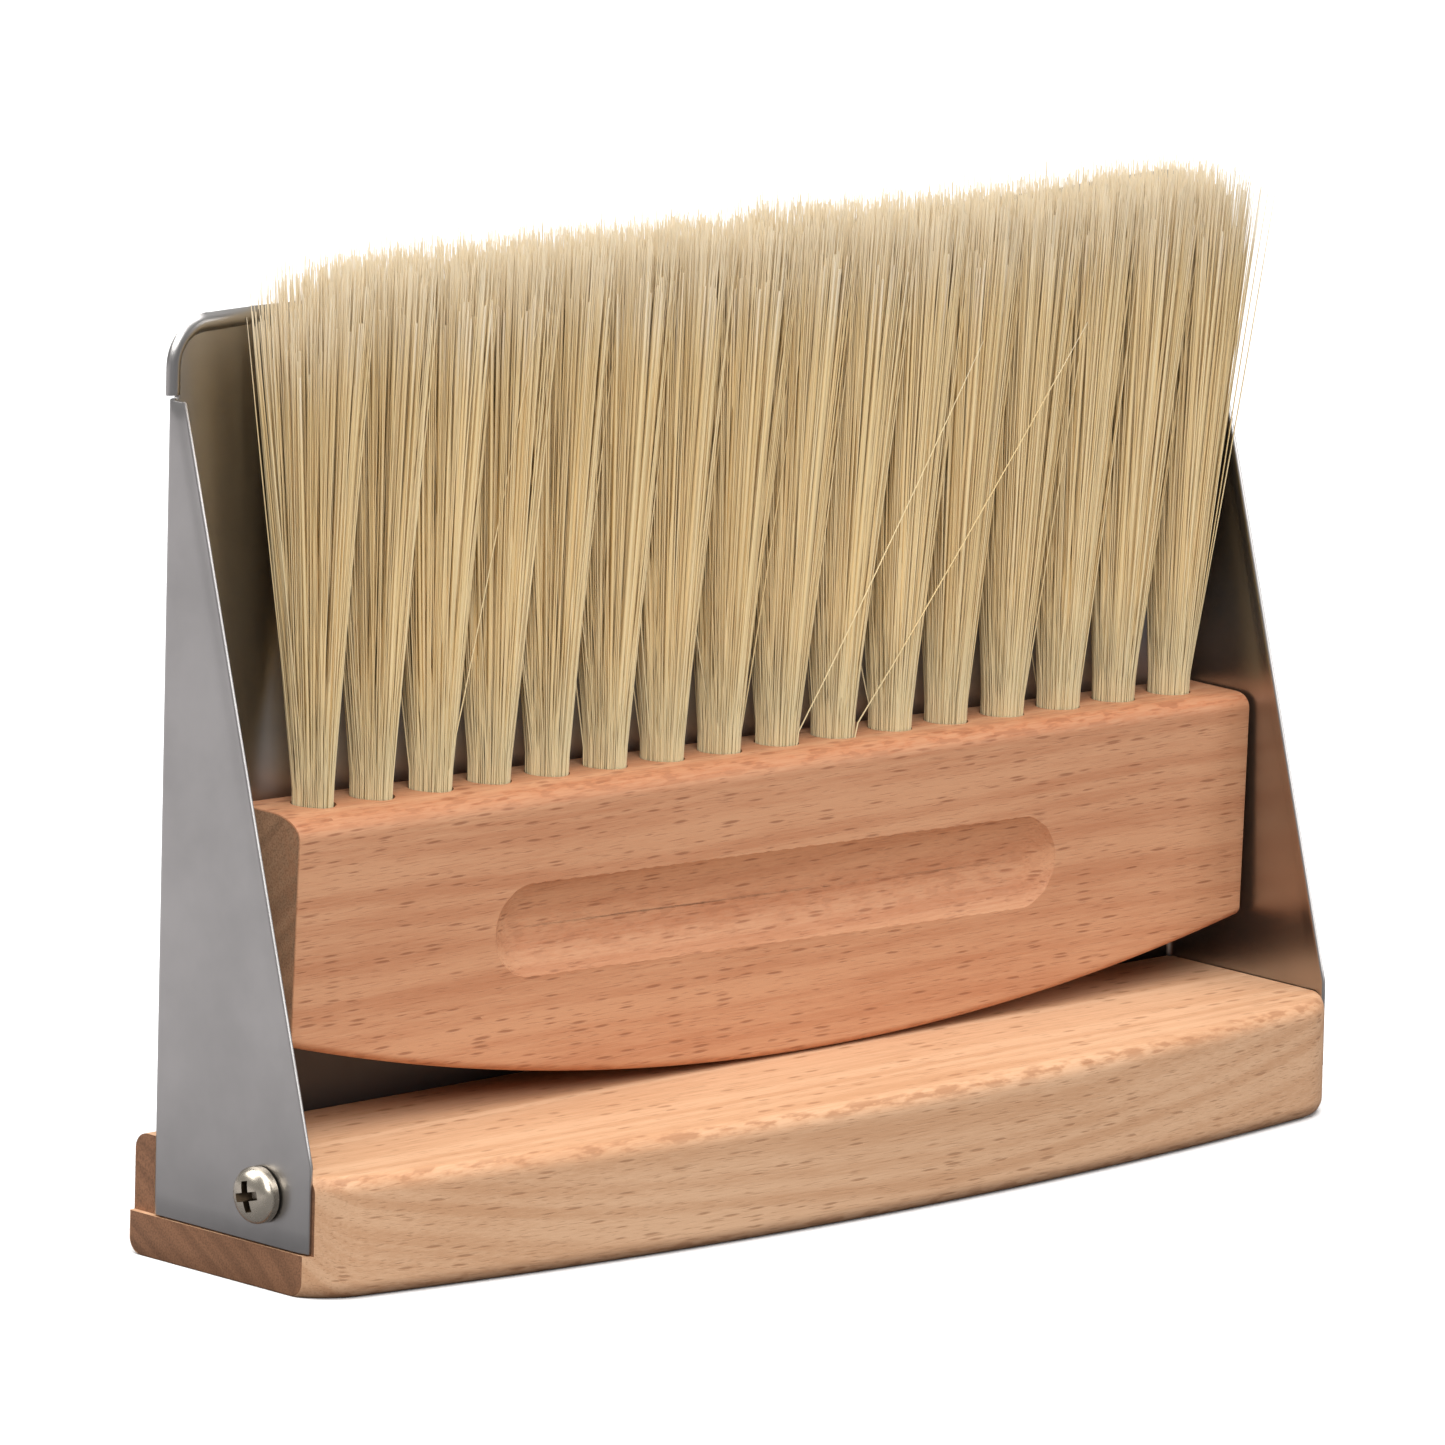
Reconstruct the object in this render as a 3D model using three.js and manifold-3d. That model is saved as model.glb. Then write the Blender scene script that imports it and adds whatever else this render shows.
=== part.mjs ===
// Dust pan and brush set: a bent steel pan with a beech handle bar, and a beech brush that
// stands in the pan on its curved back, held to the plate by two magnets.
// Millimetres. +X runs along the set, -Y is the front (brush side), +Z is up.
// The origin is on the surface the bar stands on, under the middle of the bar. Each piece is
// drawn with y = 0 in the plate's back face, and the whole set is moved back at the end.
import * as THREE from 'three';
import { mergeVertices } from 'three/addons/utils/BufferGeometryUtils.js';
import Module from 'manifold-3d';

const wasm = await Module();
wasm.setup();

// ---- driving dimensions ----
const GAP = 0.3; // clearance between touching pieces

const PAN_WIDTH = 200; // over the two flaps
const SHEET = 0.7; // steel thickness
const BEND_RADIUS = 1.6; // outside radius of the flap bends
const SHEET_BOTTOM = 6.5; // lower edge of plate and flaps, on the bar's ledge
const PAN_TOP = 134.7; // working lip of the plate
const CORNER_RADIUS = 6.5; // plate's upper corners
const FLAP_FRONT = 33; // flap depth at the bar
const FLAP_KINK_Z = 19.1; // where the flap's front edge starts to slope back
const FLAP_TOP = 123.6; // upper end of a flap
const FLAP_TOP_DEPTH = 3.5; // flap depth there
const NOTCH = 1.2; // height of the relief notch above a flap
const NOTCH_DEPTH = 0.9; // how far the notch runs in from the side
const RIM_HEIGHT = 1.9; // raised rim round an upper corner, from the plate's back
const RIM_FULL = 92; // the rim keeps its height out from here ...
const RIM_END = 68; // ... and has faded into the plate here

const BAR_HEIGHT = 17.5;
const BAR_BACK = 4.4; // wood behind the plate
const BAR_FRONT = 45; // deepest point of the bowed front
const BAR_BOW = 560; // radius of the bowed front
const BAR_CORNER = 11; // radius that the bow tightens to at each end
const BAR_CORNER_X = 90.5; // centre of that tighter curve, from mid length
const BAR_EDGE = 2.4; // round-over of the bar's long edges
const REBATE = 1; // depth of the end rebates that the flaps lie in

const SCREW_Y = -23.5;
const SCREW_Z = 13.6;
const SCREW_SHANK = 4.2; // diameter
const SCREW_LENGTH = 20;
const SCREW_HEAD = 8.2; // diameter
const SCREW_HEAD_HEIGHT = 2.9;
const SCREW_RIM = 0.7; // straight side of the head, under its dome
const SCREW_POINT = 4; // length of the tapered end
const CROSS_WIDTH = 0.9; // cross recess: slot width, length and depth
const CROSS_LENGTH = 4.4;
const CROSS_DEPTH = 1.5;
const SCREW_HOLE = 4.8; // diameter, in flap and bar

const BLOCK_HALF = 93.3; // half the brush block's length
const BLOCK_HEIGHT = 44.2; // at mid length
const BLOCK_BOW = 394; // radius of the curved underside
const BLOCK_THICK = 15.5;
const BLOCK_EDGE = 2.4; // round-over of the block's long edges
const BRUSH_STANDOFF = 0.5; // from plate to block
const BRUSH_SHIFT = 5.4; // the brush stands this far to the right in the pan
const BRUSH_ROLL = THREE.MathUtils.degToRad(1.65); // it has rolled on its curved back, right end down

const GROOVE_HALF = 55; // finger groove: half length, height, depth and place below the block's top
const GROOVE_HEIGHT = 13.5;
const GROOVE_DEPTH = 2.2;
const GROOVE_DROP = 20.7;

const TUFTS = 16;
const TUFT_PITCH = 11.2;
const TUFT_HOLE = 6.6; // diameter
const TUFT_HOLE_DEPTH = 12;
const TUFT_RADIUS = TUFT_HOLE / 2 - GAP;
const TUFT_HEIGHT = 75; // above the block
const TUFT_NECK = 2; // straight length above the hole
const TIP_PITCH = 11.75; // spacing of the tufts at their tips
const TIP_HALF_X = 5.6; // half width of a tuft's tip
const TIP_HALF_Y = 6.2;
const TUFT_LINE = BLOCK_THICK / 2; // tuft row, behind the block's front face

const ANCHOR_HEIGHT = 2.4; // flat wire staple across the foot of a tuft
const ANCHOR_THICK = 0.5;
const ANCHOR_LIFT = 1.5; // above the hole's bottom

const MAGNET_X = 76;
const MAGNET_DIAMETER = 10;
const MAGNET_HEIGHT = 3;
const MAGNET_RECESS = 0.2; // face below the block's back

// ---- materials ----
function finish(color, roughness, metalness) {
  return new THREE.MeshStandardMaterial({ color, roughness, metalness });
}

const steel = finish(0xa8a49f, 0.34, 1);
const barBeech = finish(0xd6aa84, 0.62, 0);
const blockBeech = finish(0xda9b76, 0.58, 0);
const bristle = finish(0xcbb07e, 0.7, 0);
const nickel = finish(0xc8beaf, 0.22, 1);
const anchorWire = finish(0xb9b4a8, 0.35, 1);
const magnetPlate = finish(0xb5b5b8, 0.25, 1);

// ---- solids: closed geometry to manifold and back ----
function solid(geometry) {
  const bare = geometry.index ? geometry.toNonIndexed() : geometry.clone();
  bare.deleteAttribute('normal');
  bare.deleteAttribute('uv');
  const merged = mergeVertices(bare, 1e-4);
  const vertProperties = new Float32Array(merged.attributes.position.array);
  const triVerts = new Uint32Array(merged.index.array);
  return new wasm.Manifold(new wasm.Mesh({ numProp: 3, vertProperties, triVerts }));
}

function surface(manifold) {
  const mesh = manifold.getMesh();
  const geometry = new THREE.BufferGeometry();
  geometry.setAttribute('position', new THREE.BufferAttribute(mesh.vertProperties, 3));
  geometry.setIndex(new THREE.BufferAttribute(mesh.triVerts, 1));
  const flat = geometry.toNonIndexed();
  flat.computeVertexNormals();
  return flat;
}

function node(name, geometry, material) {
  const mesh = new THREE.Mesh(geometry, material);
  mesh.name = name;
  return mesh;
}

function box(x0, x1, y0, y1, z0, z1) {
  const geometry = new THREE.BoxGeometry(x1 - x0, y1 - y0, z1 - z0);
  return solid(geometry.translate((x0 + x1) / 2, (y0 + y1) / 2, (z0 + z1) / 2));
}

// outline in X and Z, extruded along Y from yBack towards the front
function slabXZ(shape, yBack, depth, options = {}) {
  const geometry = new THREE.ExtrudeGeometry(shape, { depth, bevelEnabled: false, ...options });
  return geometry.rotateX(Math.PI / 2).translate(0, yBack, 0);
}

// outline in Y and Z, extruded along X over both sides of the middle
function slabYZ(shape, halfWidth) {
  const geometry = new THREE.ExtrudeGeometry(shape, { depth: 2 * halfWidth, bevelEnabled: false });
  const axes = new THREE.Matrix4().makeBasis(
    new THREE.Vector3(0, 1, 0),
    new THREE.Vector3(0, 0, 1),
    new THREE.Vector3(1, 0, 0),
  );
  return geometry.applyMatrix4(axes).translate(-halfWidth, 0, 0);
}

function polygon(points) {
  return new THREE.Shape(points.map(([x, y]) => new THREE.Vector2(x, y)));
}

function arc(cx, cy, radius, from, to, steps) {
  return Array.from({ length: steps + 1 }, (_, i) => {
    const angle = from + ((to - from) * i) / steps;
    return [cx + radius * Math.cos(angle), cy + radius * Math.sin(angle)];
  });
}

function cylinderX(diameter, x0, x1, y, z, sides) {
  const geometry = new THREE.CylinderGeometry(diameter / 2, diameter / 2, x1 - x0, sides);
  return solid(geometry.rotateZ(Math.PI / 2).translate((x0 + x1) / 2, y, z));
}

// how far a bow has fallen back at x from its middle
const bowFall = (radius, x) => radius - Math.sqrt(radius ** 2 - x ** 2);

// ---- pan sheet ----
function channelOutline(half, depth) {
  const inner = BEND_RADIUS - SHEET;
  const left = arc(-half + BEND_RADIUS, -BEND_RADIUS, BEND_RADIUS, Math.PI, Math.PI / 2, 4);
  const right = arc(half - BEND_RADIUS, -BEND_RADIUS, BEND_RADIUS, Math.PI / 2, 0, 4);
  const rightIn = arc(half - BEND_RADIUS, -BEND_RADIUS, inner, 0, Math.PI / 2, 4);
  const leftIn = arc(-half + BEND_RADIUS, -BEND_RADIUS, inner, Math.PI / 2, Math.PI, 4);
  const outer = [[-half, -depth], ...left, ...right, [half, -depth]];
  return polygon([...outer, [half - SHEET, -depth], ...rightIn, ...leftIn, [-half + SHEET, -depth]]);
}

function flappedSheet(half) {
  const channel = new THREE.ExtrudeGeometry(channelOutline(half, FLAP_FRONT), {
    depth: FLAP_TOP - SHEET_BOTTOM,
    bevelEnabled: false,
  });
  channel.translate(0, 0, SHEET_BOTTOM);
  const profile = polygon([
    [1, SHEET_BOTTOM - 1],
    [1, FLAP_TOP + 1],
    [-FLAP_TOP_DEPTH, FLAP_TOP + 1],
    [-FLAP_TOP_DEPTH, FLAP_TOP],
    [-FLAP_FRONT, FLAP_KINK_Z],
    [-FLAP_FRONT - 1, FLAP_KINK_Z],
    [-FLAP_FRONT - 1, SHEET_BOTTOM - 1],
  ]);
  return solid(channel).intersect(solid(slabYZ(profile, half + 1)));
}

// upper end of the plate: rounded corners, with a notch on each side above the flap
function platePoints(half, radius, foot) {
  const z = PAN_TOP - CORNER_RADIUS;
  const x = PAN_WIDTH / 2 - CORNER_RADIUS;
  const right = arc(x, z, radius, 0, Math.PI / 2, 6);
  const left = arc(-x, z, radius, Math.PI / 2, Math.PI, 6);
  return [[half, foot], ...right, ...left, [-half, foot]];
}

function upperPlate(half) {
  const seam = half - BEND_RADIUS;
  const waist = half - NOTCH_DEPTH;
  const top = platePoints(half, CORNER_RADIUS, FLAP_TOP + NOTCH);
  const right = [[seam, FLAP_TOP - 1], [seam, FLAP_TOP], [waist, FLAP_TOP], [waist, FLAP_TOP + NOTCH]];
  const left = right.map(([x, z]) => [-x, z]).reverse();
  return solid(slabXZ(polygon([...right, ...top, ...left]), 0, SHEET));
}

// low rim that follows the corners and fades along the lip
function cornerRim(half) {
  const foot = FLAP_TOP + NOTCH;
  const outer = platePoints(half, CORNER_RADIUS, foot);
  const inner = platePoints(half - SHEET, CORNER_RADIUS - SHEET, foot).reverse();
  const band = solid(slabXZ(polygon([...outer, ...inner]), -SHEET / 2, RIM_HEIGHT - SHEET / 2));
  const fade = (side) =>
    polygon([
      [side * (half + 1), 1],
      [side * (half + 1), -RIM_HEIGHT - 1],
      [side * RIM_FULL, -RIM_HEIGHT - 1],
      [side * RIM_FULL, -RIM_HEIGHT],
      [side * RIM_END, -SHEET + 0.1],
      [side * RIM_END, 1],
    ]);
  const height = PAN_TOP - foot + 2;
  const keep = (side) => {
    const geometry = new THREE.ExtrudeGeometry(fade(side), { depth: height, bevelEnabled: false });
    return solid(geometry.translate(0, 0, foot - 1));
  };
  return band.intersect(keep(-1).add(keep(1)));
}

function panSheet() {
  const half = PAN_WIDTH / 2;
  const holes = cylinderX(SCREW_HOLE, -half - 1, half + 1, SCREW_Y, SCREW_Z, 20);
  const sheet = flappedSheet(half).add(upperPlate(half)).add(cornerRim(half)).subtract(holes);
  return node('pan_sheet', surface(sheet), steel);
}

// ---- handle bar ----
// straight back, bowed front that tightens towards each end
function barOutline() {
  const bowCentre = BAR_BOW - BAR_FRONT;
  const lean = Math.asin(BAR_CORNER_X / (BAR_BOW - BAR_CORNER));
  const cornerY = bowCentre - (BAR_BOW - BAR_CORNER) * Math.cos(lean);
  const down = -Math.PI / 2;
  const left = arc(-BAR_CORNER_X, cornerY, BAR_CORNER, -Math.PI, down - lean, 8);
  const front = arc(0, bowCentre, BAR_BOW, down - lean, down + lean, 14).slice(1, -1);
  const right = arc(BAR_CORNER_X, cornerY, BAR_CORNER, down + lean, 0, 8);
  const reach = BAR_CORNER_X + BAR_CORNER;
  return polygon([[-reach, BAR_BACK], ...left, ...front, ...right, [reach, BAR_BACK]]);
}

function handleBar() {
  const half = PAN_WIDTH / 2;
  const rounded = new THREE.ExtrudeGeometry(barOutline(), {
    depth: BAR_HEIGHT - 2 * BAR_EDGE,
    bevelThickness: BAR_EDGE,
    bevelSize: BAR_EDGE,
    bevelOffset: -BAR_EDGE,
    bevelSegments: 3,
  });
  let bar = solid(rounded.translate(0, 0, BAR_EDGE));
  const ledge = SHEET_BOTTOM - GAP;
  const above = BAR_HEIGHT + 1;
  const front = -BAR_FRONT - 1;
  const back = BAR_BACK + 1;
  bar = bar.intersect(box(-half, half, front, back, -1, above));
  bar = bar.subtract(box(-half - 1, half + 1, -SHEET - GAP, GAP, ledge, above)); // kerf
  for (const side of [-1, 1]) {
    const span = (from, to) => (side < 0 ? [-to, -from] : [from, to]);
    const rebate = span(half - REBATE, half + 1);
    const corner = span(half - BEND_RADIUS, half + 1);
    const pilot = span(half - REBATE - SCREW_LENGTH - 1, half + 1);
    bar = bar.subtract(box(...rebate, front, back, ledge, above));
    bar = bar.subtract(box(...corner, -BEND_RADIUS, GAP, ledge, above));
    bar = bar.subtract(cylinderX(SCREW_HOLE, ...pilot, SCREW_Y, SCREW_Z, 20));
  }
  return node('handle_bar', surface(bar), barBeech);
}

// ---- side screws ----
function screwGeometry() {
  const shank = SCREW_SHANK / 2;
  const head = SCREW_HEAD / 2;
  const dome = [0.0, 0.25, 0.5, 0.75, 1].map((t) => {
    const angle = (t * Math.PI) / 2;
    return [head * Math.cos(angle), SCREW_RIM + (SCREW_HEAD_HEIGHT - SCREW_RIM) * Math.sin(angle)];
  });
  const profile = [[0, -SCREW_LENGTH], [shank, -SCREW_LENGTH + SCREW_POINT], [shank, 0], [head, 0], ...dome];
  profile[profile.length - 1][0] = 0;
  const turned = new THREE.LatheGeometry(profile.map(([r, h]) => new THREE.Vector2(r, h)), 20);
  const slot = CROSS_WIDTH / 2;
  const reach = CROSS_LENGTH / 2;
  const floor = SCREW_HEAD_HEIGHT - CROSS_DEPTH;
  const above = SCREW_HEAD_HEIGHT + 1;
  const cross = box(-reach, reach, floor, above, -slot, slot).add(box(-slot, slot, floor, above, -reach, reach));
  return surface(solid(turned).subtract(cross));
}

function sideScrew(name, side) {
  const screw = node(name, screwGeometry(), nickel);
  screw.rotation.z = (-side * Math.PI) / 2; // head outwards
  screw.position.set(side * (PAN_WIDTH / 2 + GAP), SCREW_Y, SCREW_Z);
  return screw;
}

// ---- brush, in its own frame: x along the block, y = 0 on its front face, z = 0 on its top ----
function blockOutline() {
  const reach = BLOCK_HALF + 8;
  const steps = 20;
  const under = Array.from({ length: steps + 1 }, (_, i) => {
    const x = -reach + (2 * reach * i) / steps;
    return [x, -BLOCK_HEIGHT + bowFall(BLOCK_BOW, x)];
  });
  return polygon([[-reach, 0], ...under, [reach, 0]]);
}

function grooveCutter(faceY) {
  const radius = GROOVE_HEIGHT / 2;
  const geometry = new THREE.CapsuleGeometry(radius, 2 * (GROOVE_HALF - radius), 4, 16);
  geometry.rotateZ(Math.PI / 2).scale(1, GROOVE_DEPTH / radius, 1);
  return solid(geometry.translate(0, faceY, -GROOVE_DROP));
}

function magnetPocket(side) {
  const depth = MAGNET_HEIGHT + MAGNET_RECESS + GAP;
  const radius = MAGNET_DIAMETER / 2 + GAP;
  const geometry = new THREE.CylinderGeometry(radius, radius, depth + 1, 20);
  return solid(geometry.translate(side * MAGNET_X, BLOCK_THICK + (1 - depth) / 2, -GROOVE_DROP));
}

const tuftX = (index, pitch) => (index - (TUFTS - 1) / 2) * pitch;
const number = (index) => String(index + 1).padStart(2, '0');

function tuftHole(index) {
  const radius = TUFT_HOLE / 2;
  const geometry = new THREE.CylinderGeometry(radius, radius, TUFT_HOLE_DEPTH + 1, 16).rotateX(Math.PI / 2);
  return solid(geometry.translate(tuftX(index, TUFT_PITCH), TUFT_LINE, (1 - TUFT_HOLE_DEPTH) / 2));
}

function brushBlock() {
  const rounded = slabXZ(blockOutline(), BLOCK_THICK - BLOCK_EDGE, BLOCK_THICK - 2 * BLOCK_EDGE, {
    bevelEnabled: true,
    bevelThickness: BLOCK_EDGE,
    bevelSize: BLOCK_EDGE,
    bevelOffset: -BLOCK_EDGE,
    bevelSegments: 3,
  });
  let block = solid(rounded);
  block = block.intersect(box(-BLOCK_HALF, BLOCK_HALF, -1, BLOCK_THICK + 1, -BLOCK_HEIGHT - 1, 1));
  block = block.subtract(grooveCutter(0)).subtract(grooveCutter(BLOCK_THICK));
  for (const side of [-1, 1]) block = block.subtract(magnetPocket(side));
  for (let i = 0; i < TUFTS; i += 1) block = block.subtract(tuftHole(i));
  return node('brush_block', surface(block), blockBeech);
}

// a tuft: round in its hole, fanning to a wider oval at the tips, slotted over its staple
function tuft(index) {
  const foot = -TUFT_HOLE_DEPTH + 0.5;
  const rings = 6;
  const geometry = new THREE.CylinderGeometry(1, 1, 1, 14, rings).rotateX(Math.PI / 2);
  const position = geometry.attributes.position;
  const heights = [foot, 0, TUFT_NECK, 15, 35, 55, TUFT_HEIGHT];
  for (let i = 0; i < position.count; i += 1) {
    const ring = Math.round((position.getZ(i) + 0.5) * rings);
    const height = heights[ring];
    const fan = Math.max(0, (height - TUFT_NECK) / (TUFT_HEIGHT - TUFT_NECK));
    const halfX = THREE.MathUtils.lerp(TUFT_RADIUS, TIP_HALF_X, fan);
    const halfY = THREE.MathUtils.lerp(TUFT_RADIUS, TIP_HALF_Y, fan);
    const centre = THREE.MathUtils.lerp(tuftX(index, TUFT_PITCH), tuftX(index, TIP_PITCH), fan);
    position.setXYZ(i, centre + position.getX(i) * halfX, TUFT_LINE + position.getY(i) * halfY, height);
  }
  const x = tuftX(index, TUFT_PITCH);
  const wall = ANCHOR_THICK / 2 + GAP;
  const roof = -TUFT_HOLE_DEPTH + ANCHOR_LIFT + ANCHOR_HEIGHT + GAP;
  const slot = box(x - TUFT_HOLE, x + TUFT_HOLE, TUFT_LINE - wall, TUFT_LINE + wall, foot - 1, roof);
  return node(`tuft_${number(index)}`, surface(solid(geometry).subtract(slot)), bristle);
}

function tuftAnchor(index) {
  const geometry = new THREE.BoxGeometry(2 * TUFT_RADIUS, ANCHOR_THICK, ANCHOR_HEIGHT);
  const anchor = node(`tuft_anchor_${number(index)}`, geometry, anchorWire);
  const z = -TUFT_HOLE_DEPTH + ANCHOR_LIFT + ANCHOR_HEIGHT / 2;
  anchor.position.set(tuftX(index, TUFT_PITCH), TUFT_LINE, z);
  return anchor;
}

function brushMagnet(name, side) {
  const radius = MAGNET_DIAMETER / 2;
  const magnet = node(name, new THREE.CylinderGeometry(radius, radius, MAGNET_HEIGHT, 24), magnetPlate);
  magnet.position.set(side * MAGNET_X, BLOCK_THICK - MAGNET_RECESS - MAGNET_HEIGHT / 2, -GROOVE_DROP);
  return magnet;
}

function brush() {
  const group = new THREE.Group();
  group.add(brushBlock(), brushMagnet('brush_magnet_left', -1), brushMagnet('brush_magnet_right', 1));
  for (let i = 0; i < TUFTS; i += 1) group.add(tuft(i), tuftAnchor(i));
  // the rolled curve's lowest point rests on the bar
  const centreAbove = BLOCK_BOW - BLOCK_HEIGHT;
  const rest = BAR_HEIGHT + GAP + BLOCK_BOW - centreAbove * Math.cos(BRUSH_ROLL);
  group.rotation.y = BRUSH_ROLL;
  group.position.set(BRUSH_SHIFT, -SHEET - BRUSH_STANDOFF - BLOCK_THICK, rest);
  return group;
}

// ---- whole set ----
const set = new THREE.Group();
set.add(panSheet(), handleBar(), sideScrew('side_screw_left', -1), sideScrew('side_screw_right', 1), brush());

set.position.y = (BAR_FRONT - BAR_BACK) / 2;

export default set;
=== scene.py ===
# %% [markdown]
# # Dust pan and brush set
# A bent steel pan is held in a beech handle bar, and a beech brush stands in it on its curved
# back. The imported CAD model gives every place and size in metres. Each visible piece is made
# again here with the detail that the CAD leaves out, and rides on the same moving body.

# %% Load the frame
import math
import random

import bpy
from mathutils import Matrix, Vector, noise


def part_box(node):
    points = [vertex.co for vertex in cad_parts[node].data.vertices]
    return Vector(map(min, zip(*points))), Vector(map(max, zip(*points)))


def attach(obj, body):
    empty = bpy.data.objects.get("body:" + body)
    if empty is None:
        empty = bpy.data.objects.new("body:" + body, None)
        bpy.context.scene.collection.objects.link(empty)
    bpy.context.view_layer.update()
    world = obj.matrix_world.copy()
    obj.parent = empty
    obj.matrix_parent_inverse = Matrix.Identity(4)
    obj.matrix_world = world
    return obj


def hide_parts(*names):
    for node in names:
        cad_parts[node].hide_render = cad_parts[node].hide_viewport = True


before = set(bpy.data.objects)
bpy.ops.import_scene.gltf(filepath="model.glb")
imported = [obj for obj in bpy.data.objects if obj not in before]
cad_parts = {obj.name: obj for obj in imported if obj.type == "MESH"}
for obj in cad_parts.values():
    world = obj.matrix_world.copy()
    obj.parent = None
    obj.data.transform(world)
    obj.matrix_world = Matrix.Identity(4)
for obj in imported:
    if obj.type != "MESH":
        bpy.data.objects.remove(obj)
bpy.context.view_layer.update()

# %% [markdown]
# ## Camera
# The view is a long lens from the left front, a little above. It could be typed in as a matrix,
# but a target, two angles, a distance and a small roll say the same and can be read and changed.

# %% Camera
LENS = 577.8  # millimetres, on a 36 mm sensor
DISTANCE = 3.3132
TURN, TILT, ROLL = (math.radians(a) for a in (43.269, 11.843, 1.365))
TARGET = Vector((-0.0058, 0.0049, 0.0680))

look = Vector((math.sin(TURN) * math.cos(TILT), math.cos(TURN) * math.cos(TILT), -math.sin(TILT)))
camera = bpy.data.objects.new("camera", bpy.data.cameras.new("camera"))
camera.data.lens = LENS
camera.data.sensor_width = 36
camera.rotation_mode = "QUATERNION"
camera.rotation_quaternion = look.to_track_quat("-Z", "Y") @ Matrix.Rotation(ROLL, 4, "Z").to_quaternion()
camera.location = TARGET - look * DISTANCE
camera.data.clip_start, camera.data.clip_end = 0.1, 100
bpy.context.collection.objects.link(camera)
bpy.context.scene.camera = camera
print("camera at", [round(v, 3) for v in camera.location])

# %% [markdown]
# ## Floor and light
# A small product is lit like this in a white tent: light comes from everywhere, a large lamp
# above and one at the front left shape it, and the floor is so bright that it loses its edge.
# Such a floor also throws light up from below, which greys out the dark gaps and the mirror of
# the steel, so the floor and the world are darker for the light that they pass on than they
# look to the eye. A Light Path node makes that split. Behind on the left the floor passes on
# more, because the left flap mirrors that place.


# %% Meshes and nodes
def tint(red, green, blue):
    """A colour written 0 to 255 as screens show it, as the linear colour that shaders use."""
    levels = [v / 255 for v in (red, green, blue)]
    return (*(v / 12.92 if v <= 0.04045 else ((v + 0.055) / 1.055) ** 2.4 for v in levels), 1.0)


def add_piece(name, verts, faces, material=None):
    mesh = bpy.data.meshes.new(name)
    mesh.from_pydata([tuple(v) for v in verts], [], faces)
    if material:
        mesh.materials.append(material)
    piece = bpy.data.objects.new(name, mesh)
    bpy.context.collection.objects.link(piece)
    return piece


def add_node(tree, kind, inputs=None, **settings):
    """A node with its settings. Each input is set to a value, or linked if it is given a socket."""
    made = tree.nodes.new(kind)
    for key, value in settings.items():
        setattr(made, key, value)
    for key, value in (inputs or {}).items():
        if isinstance(value, bpy.types.NodeSocket):
            tree.links.new(value, made.inputs[key])
        else:
            made.inputs[key].default_value = value
    return made


def maths(tree, operation, *values, clamp=False):
    made = add_node(tree, "ShaderNodeMath", dict(enumerate(values)), operation=operation, use_clamp=clamp)
    return made.outputs[0]


def vectors(tree, operation, *values):
    made = add_node(tree, "ShaderNodeVectorMath", dict(enumerate(values)), operation=operation)
    return made.outputs[0]


def new_material(name, **values):
    """A material and its Principled BSDF, with the plain values set on the shader's sockets."""
    material = bpy.data.materials.new(name)
    material.use_nodes = True
    shader = material.node_tree.nodes["Principled BSDF"]
    for key, value in values.items():
        shader.inputs[key.replace("_", " ").title().replace("Ior", "IOR")].default_value = value
    return material, shader


# %% Floor and world
FLOOR_RADIUS = 14
FLOOR_SEEN = (0.94, 0.94, 0.94, 1)
FLOOR_PASSED = (0.16, 0.16, 0.165, 1)
FLOOR_PASSED_LEFT = (0.44, 0.43, 0.44, 1)  # behind on the left, where the left flap mirrors it
REAR_LEFT = (-0.69, 0.72, 0)
PALE_FROM, PALE_FULL = 0.05, 0.22  # the paler floor starts and is whole this far out
SKY_SEEN, SKY_PASSED = 1.0, 0.30


def remap(tree, value, low, high, to_low=0.0, to_high=1.0):
    inputs = {0: value, 1: low, 2: high, 3: to_low, 4: to_high}
    return add_node(tree, "ShaderNodeMapRange", inputs, interpolation_type="SMOOTHSTEP").outputs[0]


def blend_colours(tree, factor, first, second, mode="MIX"):
    inputs = {0: factor, 6: first, 7: second}
    made = add_node(tree, "ShaderNodeMix", inputs, data_type="RGBA", blend_type=mode)
    return made.outputs[2]


floor_material, floor_shader = new_material("white_floor", roughness=0.9, specular_ior_level=0.0)
floor_tree = floor_material.node_tree
spot = add_node(floor_tree, "ShaderNodeTexCoord").outputs["Object"]
outward = add_node(floor_tree, "ShaderNodeVectorMath", {0: spot, 1: REAR_LEFT}, operation="DOT_PRODUCT")
pale = remap(floor_tree, outward.outputs["Value"], PALE_FROM, PALE_FULL)
passed = blend_colours(floor_tree, pale, FLOOR_PASSED, FLOOR_PASSED_LEFT)
straight = add_node(floor_tree, "ShaderNodeLightPath").outputs["Is Camera Ray"]
seen = blend_colours(floor_tree, straight, passed, FLOOR_SEEN)
floor_tree.links.new(seen, floor_shader.inputs["Base Color"])
ring = [
    (FLOOR_RADIUS * math.cos(math.radians(a)), FLOOR_RADIUS * math.sin(math.radians(a)), 0)
    for a in range(0, 360, 5)
]
floor = add_piece("floor", ring, [tuple(range(len(ring)))], floor_material)

world = bpy.data.worlds.new("studio")
world.use_nodes = True
sky = world.node_tree.nodes["Background"]
sky.inputs["Color"].default_value = (1, 1, 1, 1)
straight = add_node(world.node_tree, "ShaderNodeLightPath").outputs["Is Camera Ray"]
strength = add_node(world.node_tree, "ShaderNodeMix", {0: straight, 2: SKY_PASSED, 3: SKY_SEEN})
world.node_tree.links.new(strength.outputs[0], sky.inputs["Strength"])
bpy.context.scene.world = world
bpy.context.scene.view_settings.view_transform = "Standard"


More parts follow.
